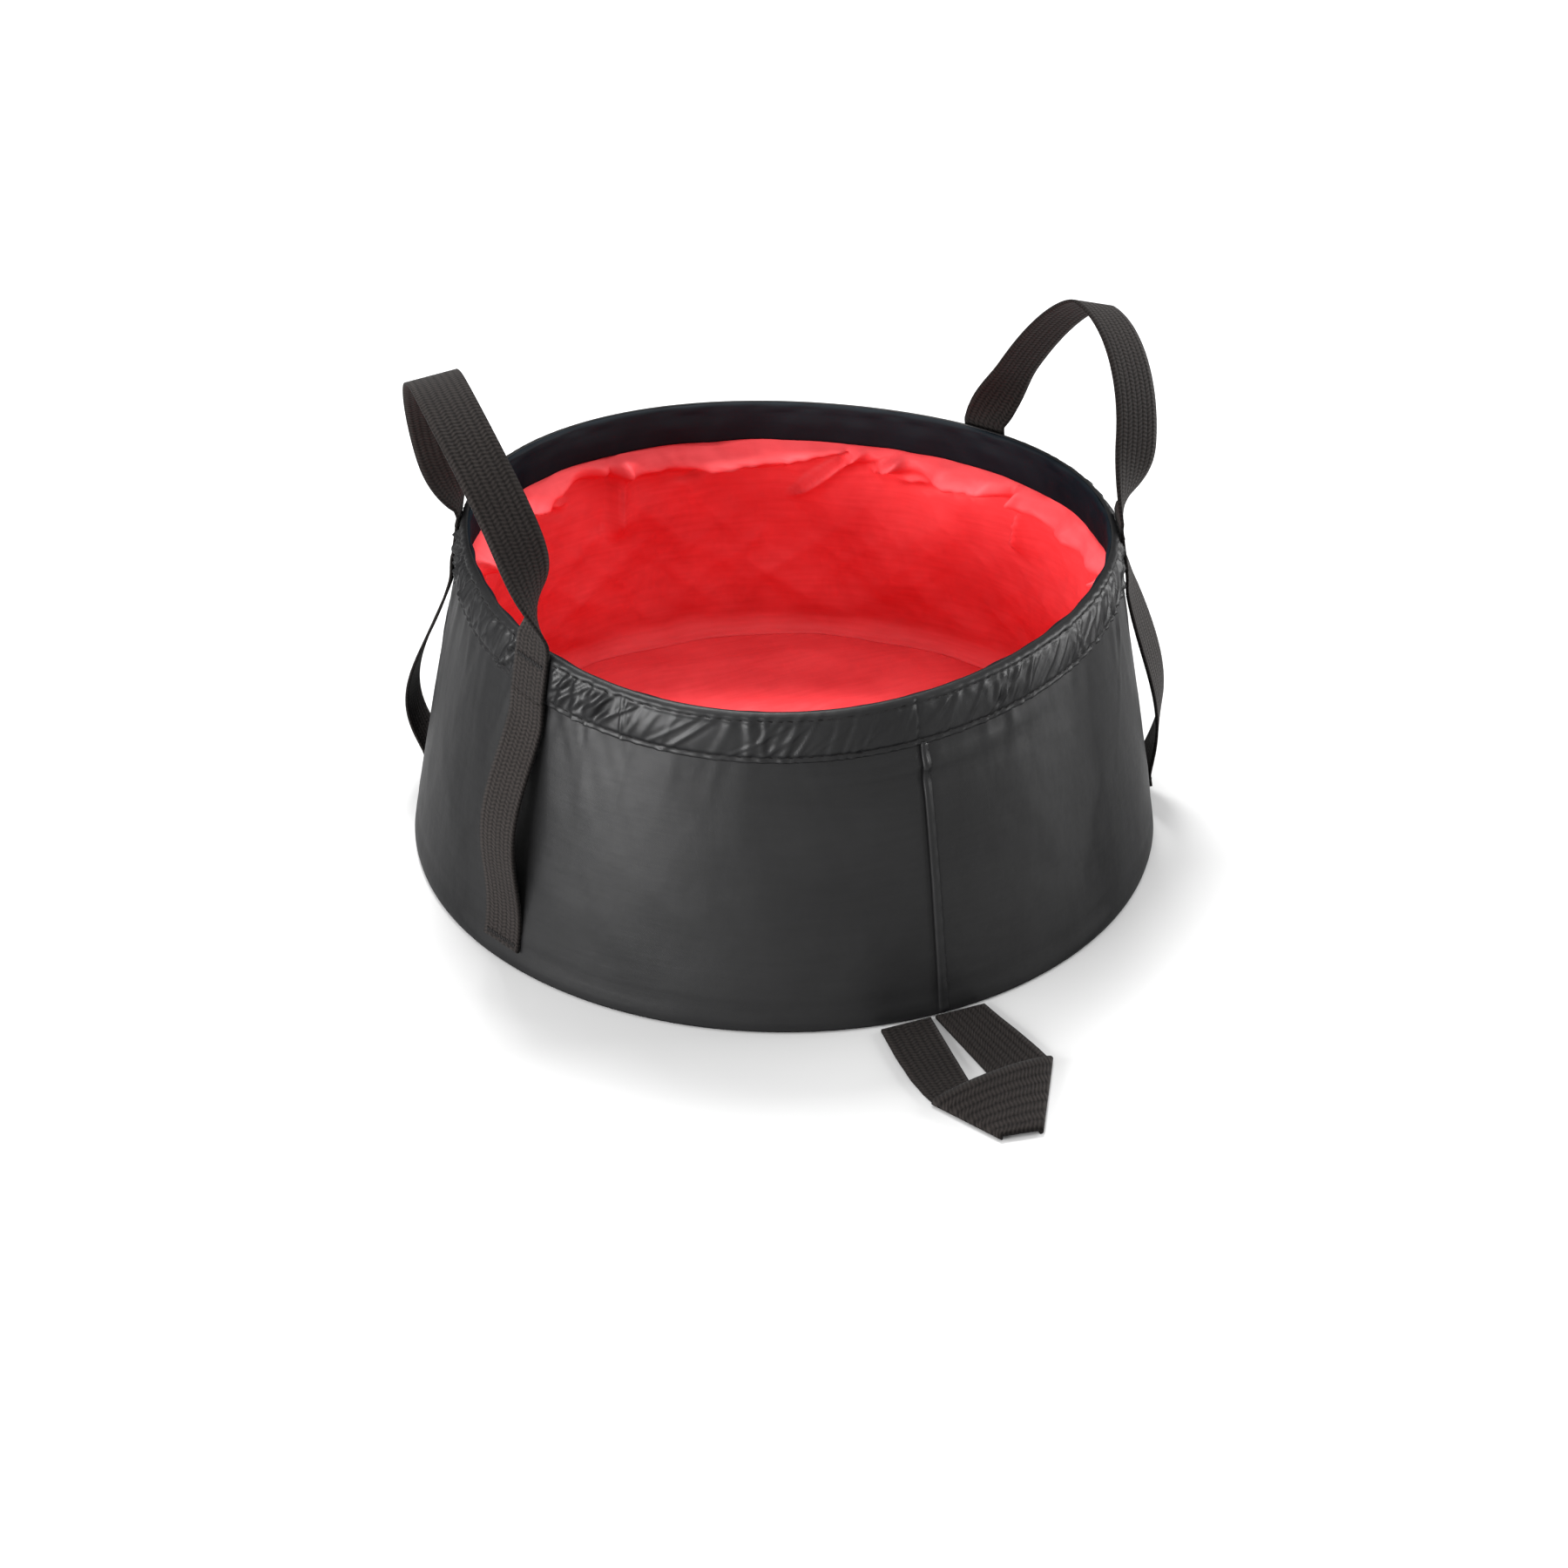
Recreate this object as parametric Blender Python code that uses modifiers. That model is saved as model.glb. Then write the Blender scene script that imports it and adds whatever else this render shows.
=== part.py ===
"""A collapsible camp washbasin.

A coated fabric bucket with a wire hoop in its rim hem, a loose waterproof lining, and webbing straps that run
from the base over the rim to a hand loop on each side. Metres, +Z up. The origin is the middle of the base, on
the ground. The pull loop is at -Y, and the hand loops are at -X (left) and +X (right).
"""

import math

import bmesh
import bpy
from mathutils import Vector

# Outside sizes of the standing basin
BASE_RADIUS = 0.155
RIM_RADIUS = 0.132
RIM_HEIGHT = 0.1274

# How far the soft rim strays from a level circle
RIM_BACK_LEAN = 0.005
RIM_OVAL = 0.003
RIM_LOBE = 0.005
RIM_LOBE_TURN = math.radians(-10.0)
RIM_DROOP = 0.003

# Fabric, webbing and wire
CLEARANCE = 0.0003
BASE_FABRIC = 0.0012
WALL_FABRIC = 0.0010
LINING_FABRIC = 0.0007
HEM_FABRIC = 0.0008
FACING_FABRIC = 0.0008
SEAM_FABRIC = 0.0008
HEM_DEPTH = 0.018
HEM_ROUNDING = 0.0006
SEAM_WIDTH = 0.005
SEAM_FOOT = 0.008
WEBBING_WIDTH = 0.020
WEBBING_THICKNESS = 0.0012

# Straps down the wall
STRAP_FOOT = 0.009
STRAP_SEWN = 0.005
STRAP_ANGLES = {
    "right_front": math.radians(-17.5),
    "right_rear": math.radians(27.5),
    "left_front": math.radians(203.0),
    "left_rear": math.radians(147.5),
}
STRAP_SLACKS = {"right_front": 0.0105, "right_rear": 0.009, "left_front": 0.009, "left_rear": 0.012}
SLACK_PLACE_SHARES = {"right_front": 0.33, "right_rear": 0.5, "left_front": 0.5, "left_rear": 0.33}

# Hand loops: height and outward lean of the top, above and outside the line between their feet
RIGHT_LOOP_RISE = 0.069
RIGHT_LOOP_LEAN = 0.017
LEFT_LOOP_RISE = 0.079
LEFT_LOOP_LEAN = 0.016
LOOP_FLAT_FOOT = 0.007
LEG_TAIL = 0.0003
RIGHT_LOOP_ROLL = math.radians(18)
LEFT_LOOP_ROLL = math.radians(8)
BOW_PLACE_POWER = 0.7

# Each leg of a hand loop, front and rear: fullness, outward bow, twist sense and height of the twist
RIGHT_LEGS = ((2.0, 0.002, 1.0, 0.028), (1.45, 0.002, 1.0, 0.028))
LEFT_LEGS = ((2.0, -0.006, -1.0, 0.050), (2.0, 0.002, 1.0, 0.028))

# Sewn bars across the webbing
TACK_LENGTH = 0.016
TACK_WIDTH = 0.0024
TACK_THICKNESS = 0.0006
TACK_INSET = 0.004

# Pull loop on the ground, in front of the base
PULL_REACH = 0.074
PULL_WIDTH = 0.052
PULL_SHIFT = 0.0025
PULL_OUTLINE_SHARES = (
    (-0.41, 0.0),
    (-0.44, 0.40),
    (-0.40, 0.61),
    (-0.12, 0.97),
    (0.14, 1.0),
    (0.34, 0.77),
    (0.56, 0.52),
    (0.41, 0.0),
)
PULL_GAP_SHARES = ((-0.02, 0.05), (0.02, 0.05), (0.105, 0.61), (-0.09, 0.61))

# Flats round the basin, shared by every ring so that neighbours stay parallel
FACETS = 72
WALL_ROWS = 5
STRAP_STATIONS = 12
LOOP_STATIONS = 28
HOOP_SIDES = 8
FULL_TURN = 2.0 * math.pi

HEM_STANDOFF = HEM_FABRIC + CLEARANCE
LINING_OFFSET = -(WALL_FABRIC + CLEARANCE)
CHANNEL_OUTER = CLEARANCE
CHANNEL_INNER = LINING_OFFSET - LINING_FABRIC - CLEARANCE
HOOP_RADIUS = (CHANNEL_OUTER - CHANNEL_INNER) / 2.0 - CLEARANCE
HEM_FOOT = RIM_HEIGHT - HEM_DEPTH
WALL_TOP = RIM_HEIGHT - HEM_FABRIC - 2.0 * HOOP_RADIUS - 2.0 * CLEARANCE
SWING_RADIUS = math.hypot(WEBBING_THICKNESS / 2.0, LEG_TAIL)
WEBBING_SPREAD = WEBBING_WIDTH / 2.0 / RIM_RADIUS
WEBBING_SEAT = CLEARANCE + WEBBING_THICKNESS / 2.0 + RIM_RADIUS * WEBBING_SPREAD**2 / 8.0

COLOURS = {
    "wall fabric": (0.10, 0.10, 0.105, 0.45),
    "rim fabric": (0.09, 0.09, 0.095, 0.45),
    "facing fabric": (0.012, 0.012, 0.016, 0.55),
    "lining": (0.80, 0.035, 0.04, 0.40),
    "webbing": (0.035, 0.030, 0.028, 0.85),
    "thread": (0.02, 0.02, 0.02, 0.70),
}
STEEL = (0.55, 0.55, 0.57, 0.30)


def clear_scene():
    """Empties the scene and makes the collection that holds the basin."""
    for item in list(bpy.data.objects):
        bpy.data.objects.remove(item, do_unlink=True)
    collection = bpy.data.collections.new("collapsible_camp_washbasin")
    bpy.context.scene.collection.children.link(collection)
    return collection


def make_material(name, colour, metallic=0.0):
    """A plain finish: red, green, blue and roughness."""
    material = bpy.data.materials.new(name)
    material.use_nodes = True
    shader = material.node_tree.nodes["Principled BSDF"]
    shader.inputs["Base Color"].default_value = (*colour[:3], 1.0)
    shader.inputs["Roughness"].default_value = colour[3]
    shader.inputs["Metallic"].default_value = metallic
    return material


def rim_radius(angle):
    """Outside radius of the rim, which three soft corners and a lean to the back make uneven."""
    lean = RIM_BACK_LEAN * math.sin(angle)
    oval = -RIM_OVAL * math.cos(2.0 * angle)
    lobe = RIM_LOBE * math.cos(3.0 * (angle - RIM_LOBE_TURN))
    return RIM_RADIUS + lean + oval + lobe


def rim_height(angle):
    """Height of the rim, which droops at front and back between the hand loops."""
    return RIM_HEIGHT + RIM_DROOP * math.cos(2.0 * angle)


def wall_point(angle, offset, height):
    """The point this far outside the wall's outer face, at a height counted on a level rim."""
    share = height / RIM_HEIGHT
    top = rim_radius(angle) - HEM_STANDOFF
    radius = BASE_RADIUS + (top - BASE_RADIUS) * share + offset
    return Vector((radius * math.cos(angle), radius * math.sin(angle), share * rim_height(angle)))


def least_wall_radius(offset, *heights):
    """The smallest radius that a face of the wall has at these heights."""
    angles = [FULL_TURN * step / FACETS for step in range(FACETS)]
    return min(wall_point(angle, offset, height).xy.length for angle in angles for height in heights)


def add_part(collection, name, bm, material, pivot=None):
    """Turns a bmesh into a named object, with its origin on the axis that the piece moves on."""
    origin = Vector(pivot) if pivot else Vector()
    bmesh.ops.translate(bm, verts=bm.verts, vec=-origin)
    mesh = bpy.data.meshes.new(name)
    bm.to_mesh(mesh)
    bm.free()
    mesh.materials.append(material)
    mesh.shade_smooth()
    mesh.set_sharp_from_angle(angle=math.radians(40.0))
    part = bpy.data.objects.new(name, mesh)
    part.location = origin
    collection.objects.link(part)
    return part


def band_profile(inner, outer, low, high, rows=1):
    """A closed upright strip of (offset, height) points."""
    heights = [low + (high - low) * row / rows for row in range(rows + 1)]
    return [(outer, height) for height in heights] + [(inner, height) for height in reversed(heights)]


def circle_profile(offset, height, radius):
    """A closed round section of (offset, height) points."""
    turns = [FULL_TURN * (side + 0.5) / HOOP_SIDES for side in range(HOOP_SIDES)]
    return [(offset + radius * math.cos(turn), height + radius * math.sin(turn)) for turn in turns]


def settle(bm, start):
    """Moves a body turned round a plain cylinder onto the basin's soft shape."""
    for vert in bm.verts:
        angle = math.atan2(vert.co.y, vert.co.x) + start
        vert.co = wall_point(angle, vert.co.xy.length - BASE_RADIUS, vert.co.z)


def swept_body(profile, start=0.0, sweep=FULL_TURN, steps=FACETS):
    """Turns a closed profile round the basin and settles it."""
    bm = bmesh.new()
    corners = [bm.verts.new((BASE_RADIUS + offset, 0.0, height)) for offset, height in profile]
    whole = sweep >= FULL_TURN
    if whole:
        loop = [bm.edges.new((corners[i - 1], corners[i])) for i in range(len(corners))]
        geometry = corners + loop
    else:
        face = bm.faces.new(corners)
        geometry = [face, *face.edges, *face.verts]
    bmesh.ops.spin(
        bm, geom=geometry, cent=(0.0, 0.0, 0.0), axis=(0.0, 0.0, 1.0), dvec=(0.0, 0.0, 0.0),
        angle=sweep, steps=steps, use_merge=whole, use_duplicate=False,
    )
    settle(bm, start)
    bmesh.ops.recalc_face_normals(bm, faces=bm.faces)
    if bm.calc_volume(signed=True) < 0.0:
        bmesh.ops.reverse_faces(bm, faces=bm.faces)
    return bm


def disc_body(radius, low, high):
    """A round flat panel with the same flats as the rings."""
    bm = bmesh.new()
    bmesh.ops.create_cone(
        bm, cap_ends=True, segments=FACETS, radius1=radius, radius2=radius, depth=high - low
    )
    bmesh.ops.translate(bm, verts=bm.verts, vec=(0.0, 0.0, (low + high) / 2.0))
    return bm


def make_base(collection, materials):
    """The base panel on the ground and the lining floor on top of it."""
    radius = least_wall_radius(-WALL_FABRIC, 0.0, BASE_FABRIC) - CLEARANCE
    add_part(collection, "base_panel", disc_body(radius, 0.0, BASE_FABRIC), materials["wall fabric"])
    low = BASE_FABRIC + CLEARANCE
    high = low + LINING_FABRIC
    radius = least_wall_radius(LINING_OFFSET - LINING_FABRIC, low, high) - CLEARANCE
    add_part(collection, "lining_floor", disc_body(radius, low, high), materials["lining"])


def make_walls(collection, materials):
    """Two half wall panels, from seam to seam, standing on the ground."""
    profile = band_profile(-WALL_FABRIC, 0.0, 0.0, WALL_TOP, WALL_ROWS)
    slit = CLEARANCE / RIM_RADIUS
    for name, start in (("wall_right", -math.pi / 2.0), ("wall_left", math.pi / 2.0)):
        body = swept_body(profile, start + slit, math.pi - 2.0 * slit, FACETS // 2)
        add_part(collection, name, body, materials["wall fabric"])


def make_seams(collection, materials):
    """The flat felled seams that close the two wall panels at front and back."""
    profile = band_profile(CLEARANCE, CLEARANCE + SEAM_FABRIC, SEAM_FOOT, HEM_FOOT - CLEARANCE, WALL_ROWS)
    sweep = SEAM_WIDTH / BASE_RADIUS
    for name, middle in (("front_seam", -math.pi / 2.0), ("back_seam", math.pi / 2.0)):
        body = swept_body(profile, middle - sweep / 2.0, sweep, 1)
        add_part(collection, name, body, materials["wall fabric"])


def make_lining_wall(collection, materials):
    """The lining's wall, which hangs inside the outer wall from the rim hem."""
    outer = LINING_OFFSET
    profile = band_profile(outer - LINING_FABRIC, outer, BASE_FABRIC + CLEARANCE, WALL_TOP, WALL_ROWS)
    add_part(collection, "lining_wall", swept_body(profile), materials["lining"])


def hem_profile():
    """An upside-down L: the outer leg of the hem and the roof over the hoop."""
    outer = HEM_STANDOFF
    inner = CHANNEL_INNER - FACING_FABRIC
    roof = RIM_HEIGHT - HEM_FABRIC
    return [
        (CHANNEL_OUTER, HEM_FOOT),
        (outer, HEM_FOOT),
        (outer, RIM_HEIGHT - HEM_ROUNDING),
        (outer - HEM_ROUNDING, RIM_HEIGHT),
        (inner + HEM_ROUNDING, RIM_HEIGHT),
        (inner, RIM_HEIGHT - HEM_ROUNDING),
        (inner, roof),
        (CHANNEL_OUTER, roof),
    ]


def make_rim(collection, materials):
    """The hem channel, its black inner facing and the wire hoop that it holds."""
    pivot = (0.0, 0.0, RIM_HEIGHT)
    add_part(collection, "rim_hem", swept_body(hem_profile()), materials["rim fabric"], pivot)
    facing_top = RIM_HEIGHT - HEM_FABRIC - CLEARANCE
    facing = band_profile(CHANNEL_INNER - FACING_FABRIC, CHANNEL_INNER, HEM_FOOT, facing_top)
    add_part(collection, "rim_facing", swept_body(facing), materials["facing fabric"], pivot)
    middle = (CHANNEL_OUTER + CHANNEL_INNER) / 2.0
    hoop = circle_profile(middle, facing_top - HOOP_RADIUS, HOOP_RADIUS)
    add_part(collection, "rim_hoop", swept_body(hoop), materials["steel"], pivot)


def ribbon_body(rows):
    """An open strip of webbing through rows of points, each row running across it."""
    bm = bmesh.new()
    last_row = len(rows) - 1
    last_column = len(rows[0]) - 1
    bmesh.ops.create_grid(bm, x_segments=last_column, y_segments=last_row, size=1.0)
    for vert in bm.verts:
        row = round((vert.co.y + 1.0) / 2.0 * last_row)
        column = round((vert.co.x + 1.0) / 2.0 * last_column)
        vert.co = rows[row][column]
    return bm


def add_ribbon(collection, name, rows, material, pivot=None):
    """A webbing strip with its thickness, half to each side of its middle."""
    part = add_part(collection, name, ribbon_body(rows), material, pivot)
    solid = part.modifiers.new("webbing thickness", "SOLIDIFY")
    solid.thickness = WEBBING_THICKNESS
    solid.offset = 0.0
    return part


def wall_strip(angle, stations):
    """Rows across webbing that follows the wall, at (offset, height) stations."""
    turns = (angle - WEBBING_SPREAD, angle, angle + WEBBING_SPREAD)
    return [[wall_point(turn, offset, height) for turn in turns] for offset, height in stations]


def wall_frame(angle, height):
    """Unit vectors across, up and out of the wall where a strap's middle crosses it."""
    start = wall_point(angle - WEBBING_SPREAD, 0.0, height)
    end = wall_point(angle + WEBBING_SPREAD, 0.0, height)
    across = (end - start).normalized()
    upward = wall_point(angle, 0.0, RIM_HEIGHT) - wall_point(angle, 0.0, 0.0)
    upward = (upward - across * upward.dot(across)).normalized()
    return across, upward, across.cross(upward)


def side_strap_stations(slack, place_share):
    """The strap is sewn flat at its foot, then stands off by its slack, most at the given share."""
    low = STRAP_FOOT + STRAP_SEWN
    high = HEM_FOOT - CLEARANCE
    stations = [(WEBBING_SEAT, STRAP_FOOT)]
    for step in range(STRAP_STATIONS + 1):
        share = step / STRAP_STATIONS
        turn = math.pi * share ** (math.log(0.5) / math.log(place_share))
        bulge = slack * math.sin(turn) ** 2
        stations.append((WEBBING_SEAT + bulge, low + (high - low) * share))
    return stations


def loop_foot(angle):
    """The middle of a hand loop's foot, on the axis that the loop swings about."""
    foot = wall_point(angle, HEM_STANDOFF + WEBBING_SEAT, RIM_HEIGHT)
    tops = [rim_height(angle + turn) for turn in (-WEBBING_SPREAD, 0.0, WEBBING_SPREAD)]
    foot.z = max(tops) + SWING_RADIUS + CLEARANCE
    return foot


def tack_body(angle, offset, height):
    """A sewn bar across the webbing, lying on its outer face."""
    bm = bmesh.new()
    bmesh.ops.create_cube(bm, size=1.0)
    middle = wall_point(angle, offset, height)
    across, upward, outward = wall_frame(angle, height)
    for vert in bm.verts:
        place = vert.co.copy()
        vert.co = middle + across * place.x * TACK_LENGTH + upward * place.y * TACK_WIDTH
        vert.co += outward * (place.z + 0.5) * TACK_THICKNESS
    return bm


def make_side_straps(collection, materials):
    """Four straps down the outside of the wall, each sewn with a bar near the base."""
    outer_face = WEBBING_SEAT + WEBBING_THICKNESS / 2.0 + CLEARANCE
    for name, angle in STRAP_ANGLES.items():
        stations = side_strap_stations(STRAP_SLACKS[name], SLACK_PLACE_SHARES[name])
        rows = wall_strip(angle, stations)
        add_ribbon(collection, f"{name}_side_strap", rows, materials["webbing"])
        tack = tack_body(angle, outer_face, STRAP_FOOT + STRAP_SEWN / 2.0)
        add_part(collection, f"{name}_base_tack", tack, materials["thread"])


def make_strap_anchors(collection, materials):
    """The stretches of webbing sewn on the hem, each with its bar, up to the hand loops' feet."""
    pivot = (0.0, 0.0, RIM_HEIGHT)
    seat = HEM_STANDOFF + WEBBING_SEAT
    outer_face = seat + WEBBING_THICKNESS / 2.0 + CLEARANCE
    for name, angle in STRAP_ANGLES.items():
        rows = wall_strip(angle, [(seat, HEM_FOOT + CLEARANCE), (seat, RIM_HEIGHT)])
        add_ribbon(collection, f"{name}_strap_anchor", rows, materials["webbing"], pivot)
        tack = tack_body(angle, outer_face, RIM_HEIGHT - TACK_INSET)
        add_part(collection, f"{name}_rim_tack", tack, materials["thread"], pivot)


def loop_frame(front, rear):
    """Middle of the line between a loop's feet, and its along, outward and half length."""
    middle = (front + rear) / 2.0
    along = (front - rear).normalized()
    outward = Vector((middle.x, middle.y, 0.0))
    outward = (outward - along * outward.dot(along)).normalized()
    return middle, along, outward, (front - rear).length / 2.0


def loop_rows(front, rear, rise, lean, roll, legs):
    """Rows across a hand loop: flat to the rim at its feet, turned flat side up over the top."""
    middle, along, outward, half = loop_frame(front, rear)
    upward = Vector((0.0, 0.0, 1.0))
    rolled = outward * math.cos(roll) - upward * math.sin(roll)
    rows = []
    for step in range(LOOP_STATIONS + 1):
        turn = math.pi * step / LOOP_STATIONS
        side = 1.0 if turn < math.pi / 2.0 else -1.0
        fullness, bow, sense, twist_rise = legs[0 if side > 0.0 else 1]
        along_share = side * abs(math.cos(turn)) ** (2.0 / fullness)
        high_share = abs(math.sin(turn)) ** (2.0 / fullness)
        above_foot = max(rise * high_share - LOOP_FLAT_FOOT, 0.0)
        bow_share = (above_foot / (rise - LOOP_FLAT_FOOT)) ** BOW_PLACE_POWER
        centre = middle + along * half * along_share + upward * rise * high_share
        centre += outward * (lean * high_share + bow * math.sin(math.pi * bow_share))
        twist = math.pi / 2.0 * math.sin(math.pi / 2.0 * min(above_foot / twist_rise, 1.0))
        across = rolled * math.sin(twist) - along * side * sense * math.cos(twist)
        if step in (0, LOOP_STATIONS):
            centre -= upward * LEG_TAIL
        rows.append((centre - across * WEBBING_WIDTH / 2.0, centre + across * WEBBING_WIDTH / 2.0))
    return rows


def make_hand_loops(collection, materials):
    """The two hand loops, each hinged on the line between its feet on the rim."""
    for side, *shape in (
        ("right", RIGHT_LOOP_RISE, RIGHT_LOOP_LEAN, RIGHT_LOOP_ROLL, RIGHT_LEGS),
        ("left", LEFT_LOOP_RISE, LEFT_LOOP_LEAN, LEFT_LOOP_ROLL, LEFT_LEGS),
    ):
        front = loop_foot(STRAP_ANGLES[f"{side}_front"])
        rear = loop_foot(STRAP_ANGLES[f"{side}_rear"])
        middle = loop_frame(front, rear)[0]
        rows = loop_rows(front, rear, *shape)
        add_ribbon(collection, f"{side}_handle", rows, materials["webbing"], middle)


def make_pull_loop(collection, materials):
    """The flat webbing loop on the ground at the foot of the front seam."""
    curve = bpy.data.curves.new("pull_loop", "CURVE")
    curve.dimensions = "2D"
    curve.fill_mode = "BOTH"
    curve.extrude = WEBBING_THICKNESS / 2.0
    for outline in (PULL_OUTLINE_SHARES, PULL_GAP_SHARES):
        spline = curve.splines.new("POLY")
        spline.points.add(len(outline) - 1)
        spline.use_cyclic_u = True
        for point, (across, reach) in zip(spline.points, outline, strict=True):
            point.co = (across * PULL_WIDTH, LEG_TAIL - reach * (PULL_REACH + LEG_TAIL), 0.0, 1.0)
    curve.materials.append(materials["webbing"])
    loop = bpy.data.objects.new("pull_loop", curve)
    hinge = BASE_RADIUS + SWING_RADIUS + CLEARANCE
    loop.location = (-PULL_SHIFT, -hinge, WEBBING_THICKNESS / 2.0)
    collection.objects.link(loop)


def main():
    """Builds the basin from the ground up."""
    collection = clear_scene()
    materials = {name: make_material(name, colour) for name, colour in COLOURS.items()}
    materials["steel"] = make_material("steel", STEEL, 1.0)
    make_base(collection, materials)
    make_walls(collection, materials)
    make_seams(collection, materials)
    make_lining_wall(collection, materials)
    make_rim(collection, materials)
    make_side_straps(collection, materials)
    make_strap_anchors(collection, materials)
    make_hand_loops(collection, materials)
    make_pull_loop(collection, materials)


main()
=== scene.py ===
"""Looks of a collapsible camp washbasin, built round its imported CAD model.

Metres, +Z up, in the CAD model's frame: the front seam and the pull loop are at -Y, the hand loops at -X and +X.
Angles run round the basin's axis from +X, and heights on the wall are counted on a level rim.
"""

import logging
import math
from dataclasses import dataclass, field
from enum import Enum
from typing import Callable

import bmesh
import bpy
import numpy as np
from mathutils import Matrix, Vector


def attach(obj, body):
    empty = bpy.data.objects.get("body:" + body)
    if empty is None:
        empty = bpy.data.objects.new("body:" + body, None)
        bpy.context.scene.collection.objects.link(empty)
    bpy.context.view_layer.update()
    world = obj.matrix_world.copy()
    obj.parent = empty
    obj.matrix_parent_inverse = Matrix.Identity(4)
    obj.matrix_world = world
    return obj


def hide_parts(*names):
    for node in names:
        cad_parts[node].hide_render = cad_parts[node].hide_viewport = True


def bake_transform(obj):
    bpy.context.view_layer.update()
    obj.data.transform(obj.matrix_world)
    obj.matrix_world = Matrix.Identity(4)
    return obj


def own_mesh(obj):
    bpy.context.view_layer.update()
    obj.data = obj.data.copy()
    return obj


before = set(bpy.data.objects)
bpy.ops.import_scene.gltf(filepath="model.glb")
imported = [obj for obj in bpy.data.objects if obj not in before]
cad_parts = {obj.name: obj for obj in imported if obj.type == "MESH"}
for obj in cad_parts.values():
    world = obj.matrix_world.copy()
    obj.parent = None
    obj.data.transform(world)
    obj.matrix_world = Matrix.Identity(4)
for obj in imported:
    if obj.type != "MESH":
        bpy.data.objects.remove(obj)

LOG = logging.getLogger("washbasin")
TAU = 2.0 * math.pi
UP = Vector((0.0, 0.0, 1.0))
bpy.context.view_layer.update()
# A shell's first sector is spun finely and then copied round, and the copies are welded.
SECTORS = 20
WELD_DISTANCE = 0.000001
SEAM_ANGLES = {"front": -math.pi / 2.0, "back": math.pi / 2.0}
STRAP_ANGLES = {
    "right_front": math.radians(-17.5),
    "right_rear": math.radians(27.5),
    "left_front": math.radians(203.0),
    "left_rear": math.radians(147.5),
}
# Distances from a strap's middle: up to the first it presses the cloth flat, and past the second the cloth is free.
STRAP_PRESS = (0.0098, 0.0135)
# Height above the hem's foot where a side strap ends and the hand loop's webbing starts.
STRAP_BREAK = 0.0004
WEBBING_WIDTH = 0.020
WEBBING_THICKNESS = 0.0012
# Distance from the cloth's face to the webbing's middle.
WEBBING_SEAT = 0.00095
Numbers = np.ndarray | float
Relief = Callable[[np.ndarray, np.ndarray, np.ndarray], np.ndarray]
Profile = list[tuple[float, float]]
Colour = tuple[float, float, float]
Edges = tuple[float, float, float, float]
Socket = bpy.types.NodeSocket


class Body(str, Enum):
    """Bodies of the CAD model that pieces ride on."""

    BASE = "base"
    RIM = "rim"
    LEFT = "left_handle"
    RIGHT = "right_handle"
    PULL = "pull_loop"


class Slot(str, Enum):
    """Material slots of the record."""

    WALL = "wall_fabric"
    RIM = "rim_fabric"
    FACING = "facing_fabric"
    LINING = "lining"
    WEBBING = "webbing"
    THREAD = "thread"


class Facing(Enum):
    """Which way the faces of a thin piece look."""

    OUT = "away from the axis"
    IN = "towards the axis"
    UP = "up"
    DOWN = "down"


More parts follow.
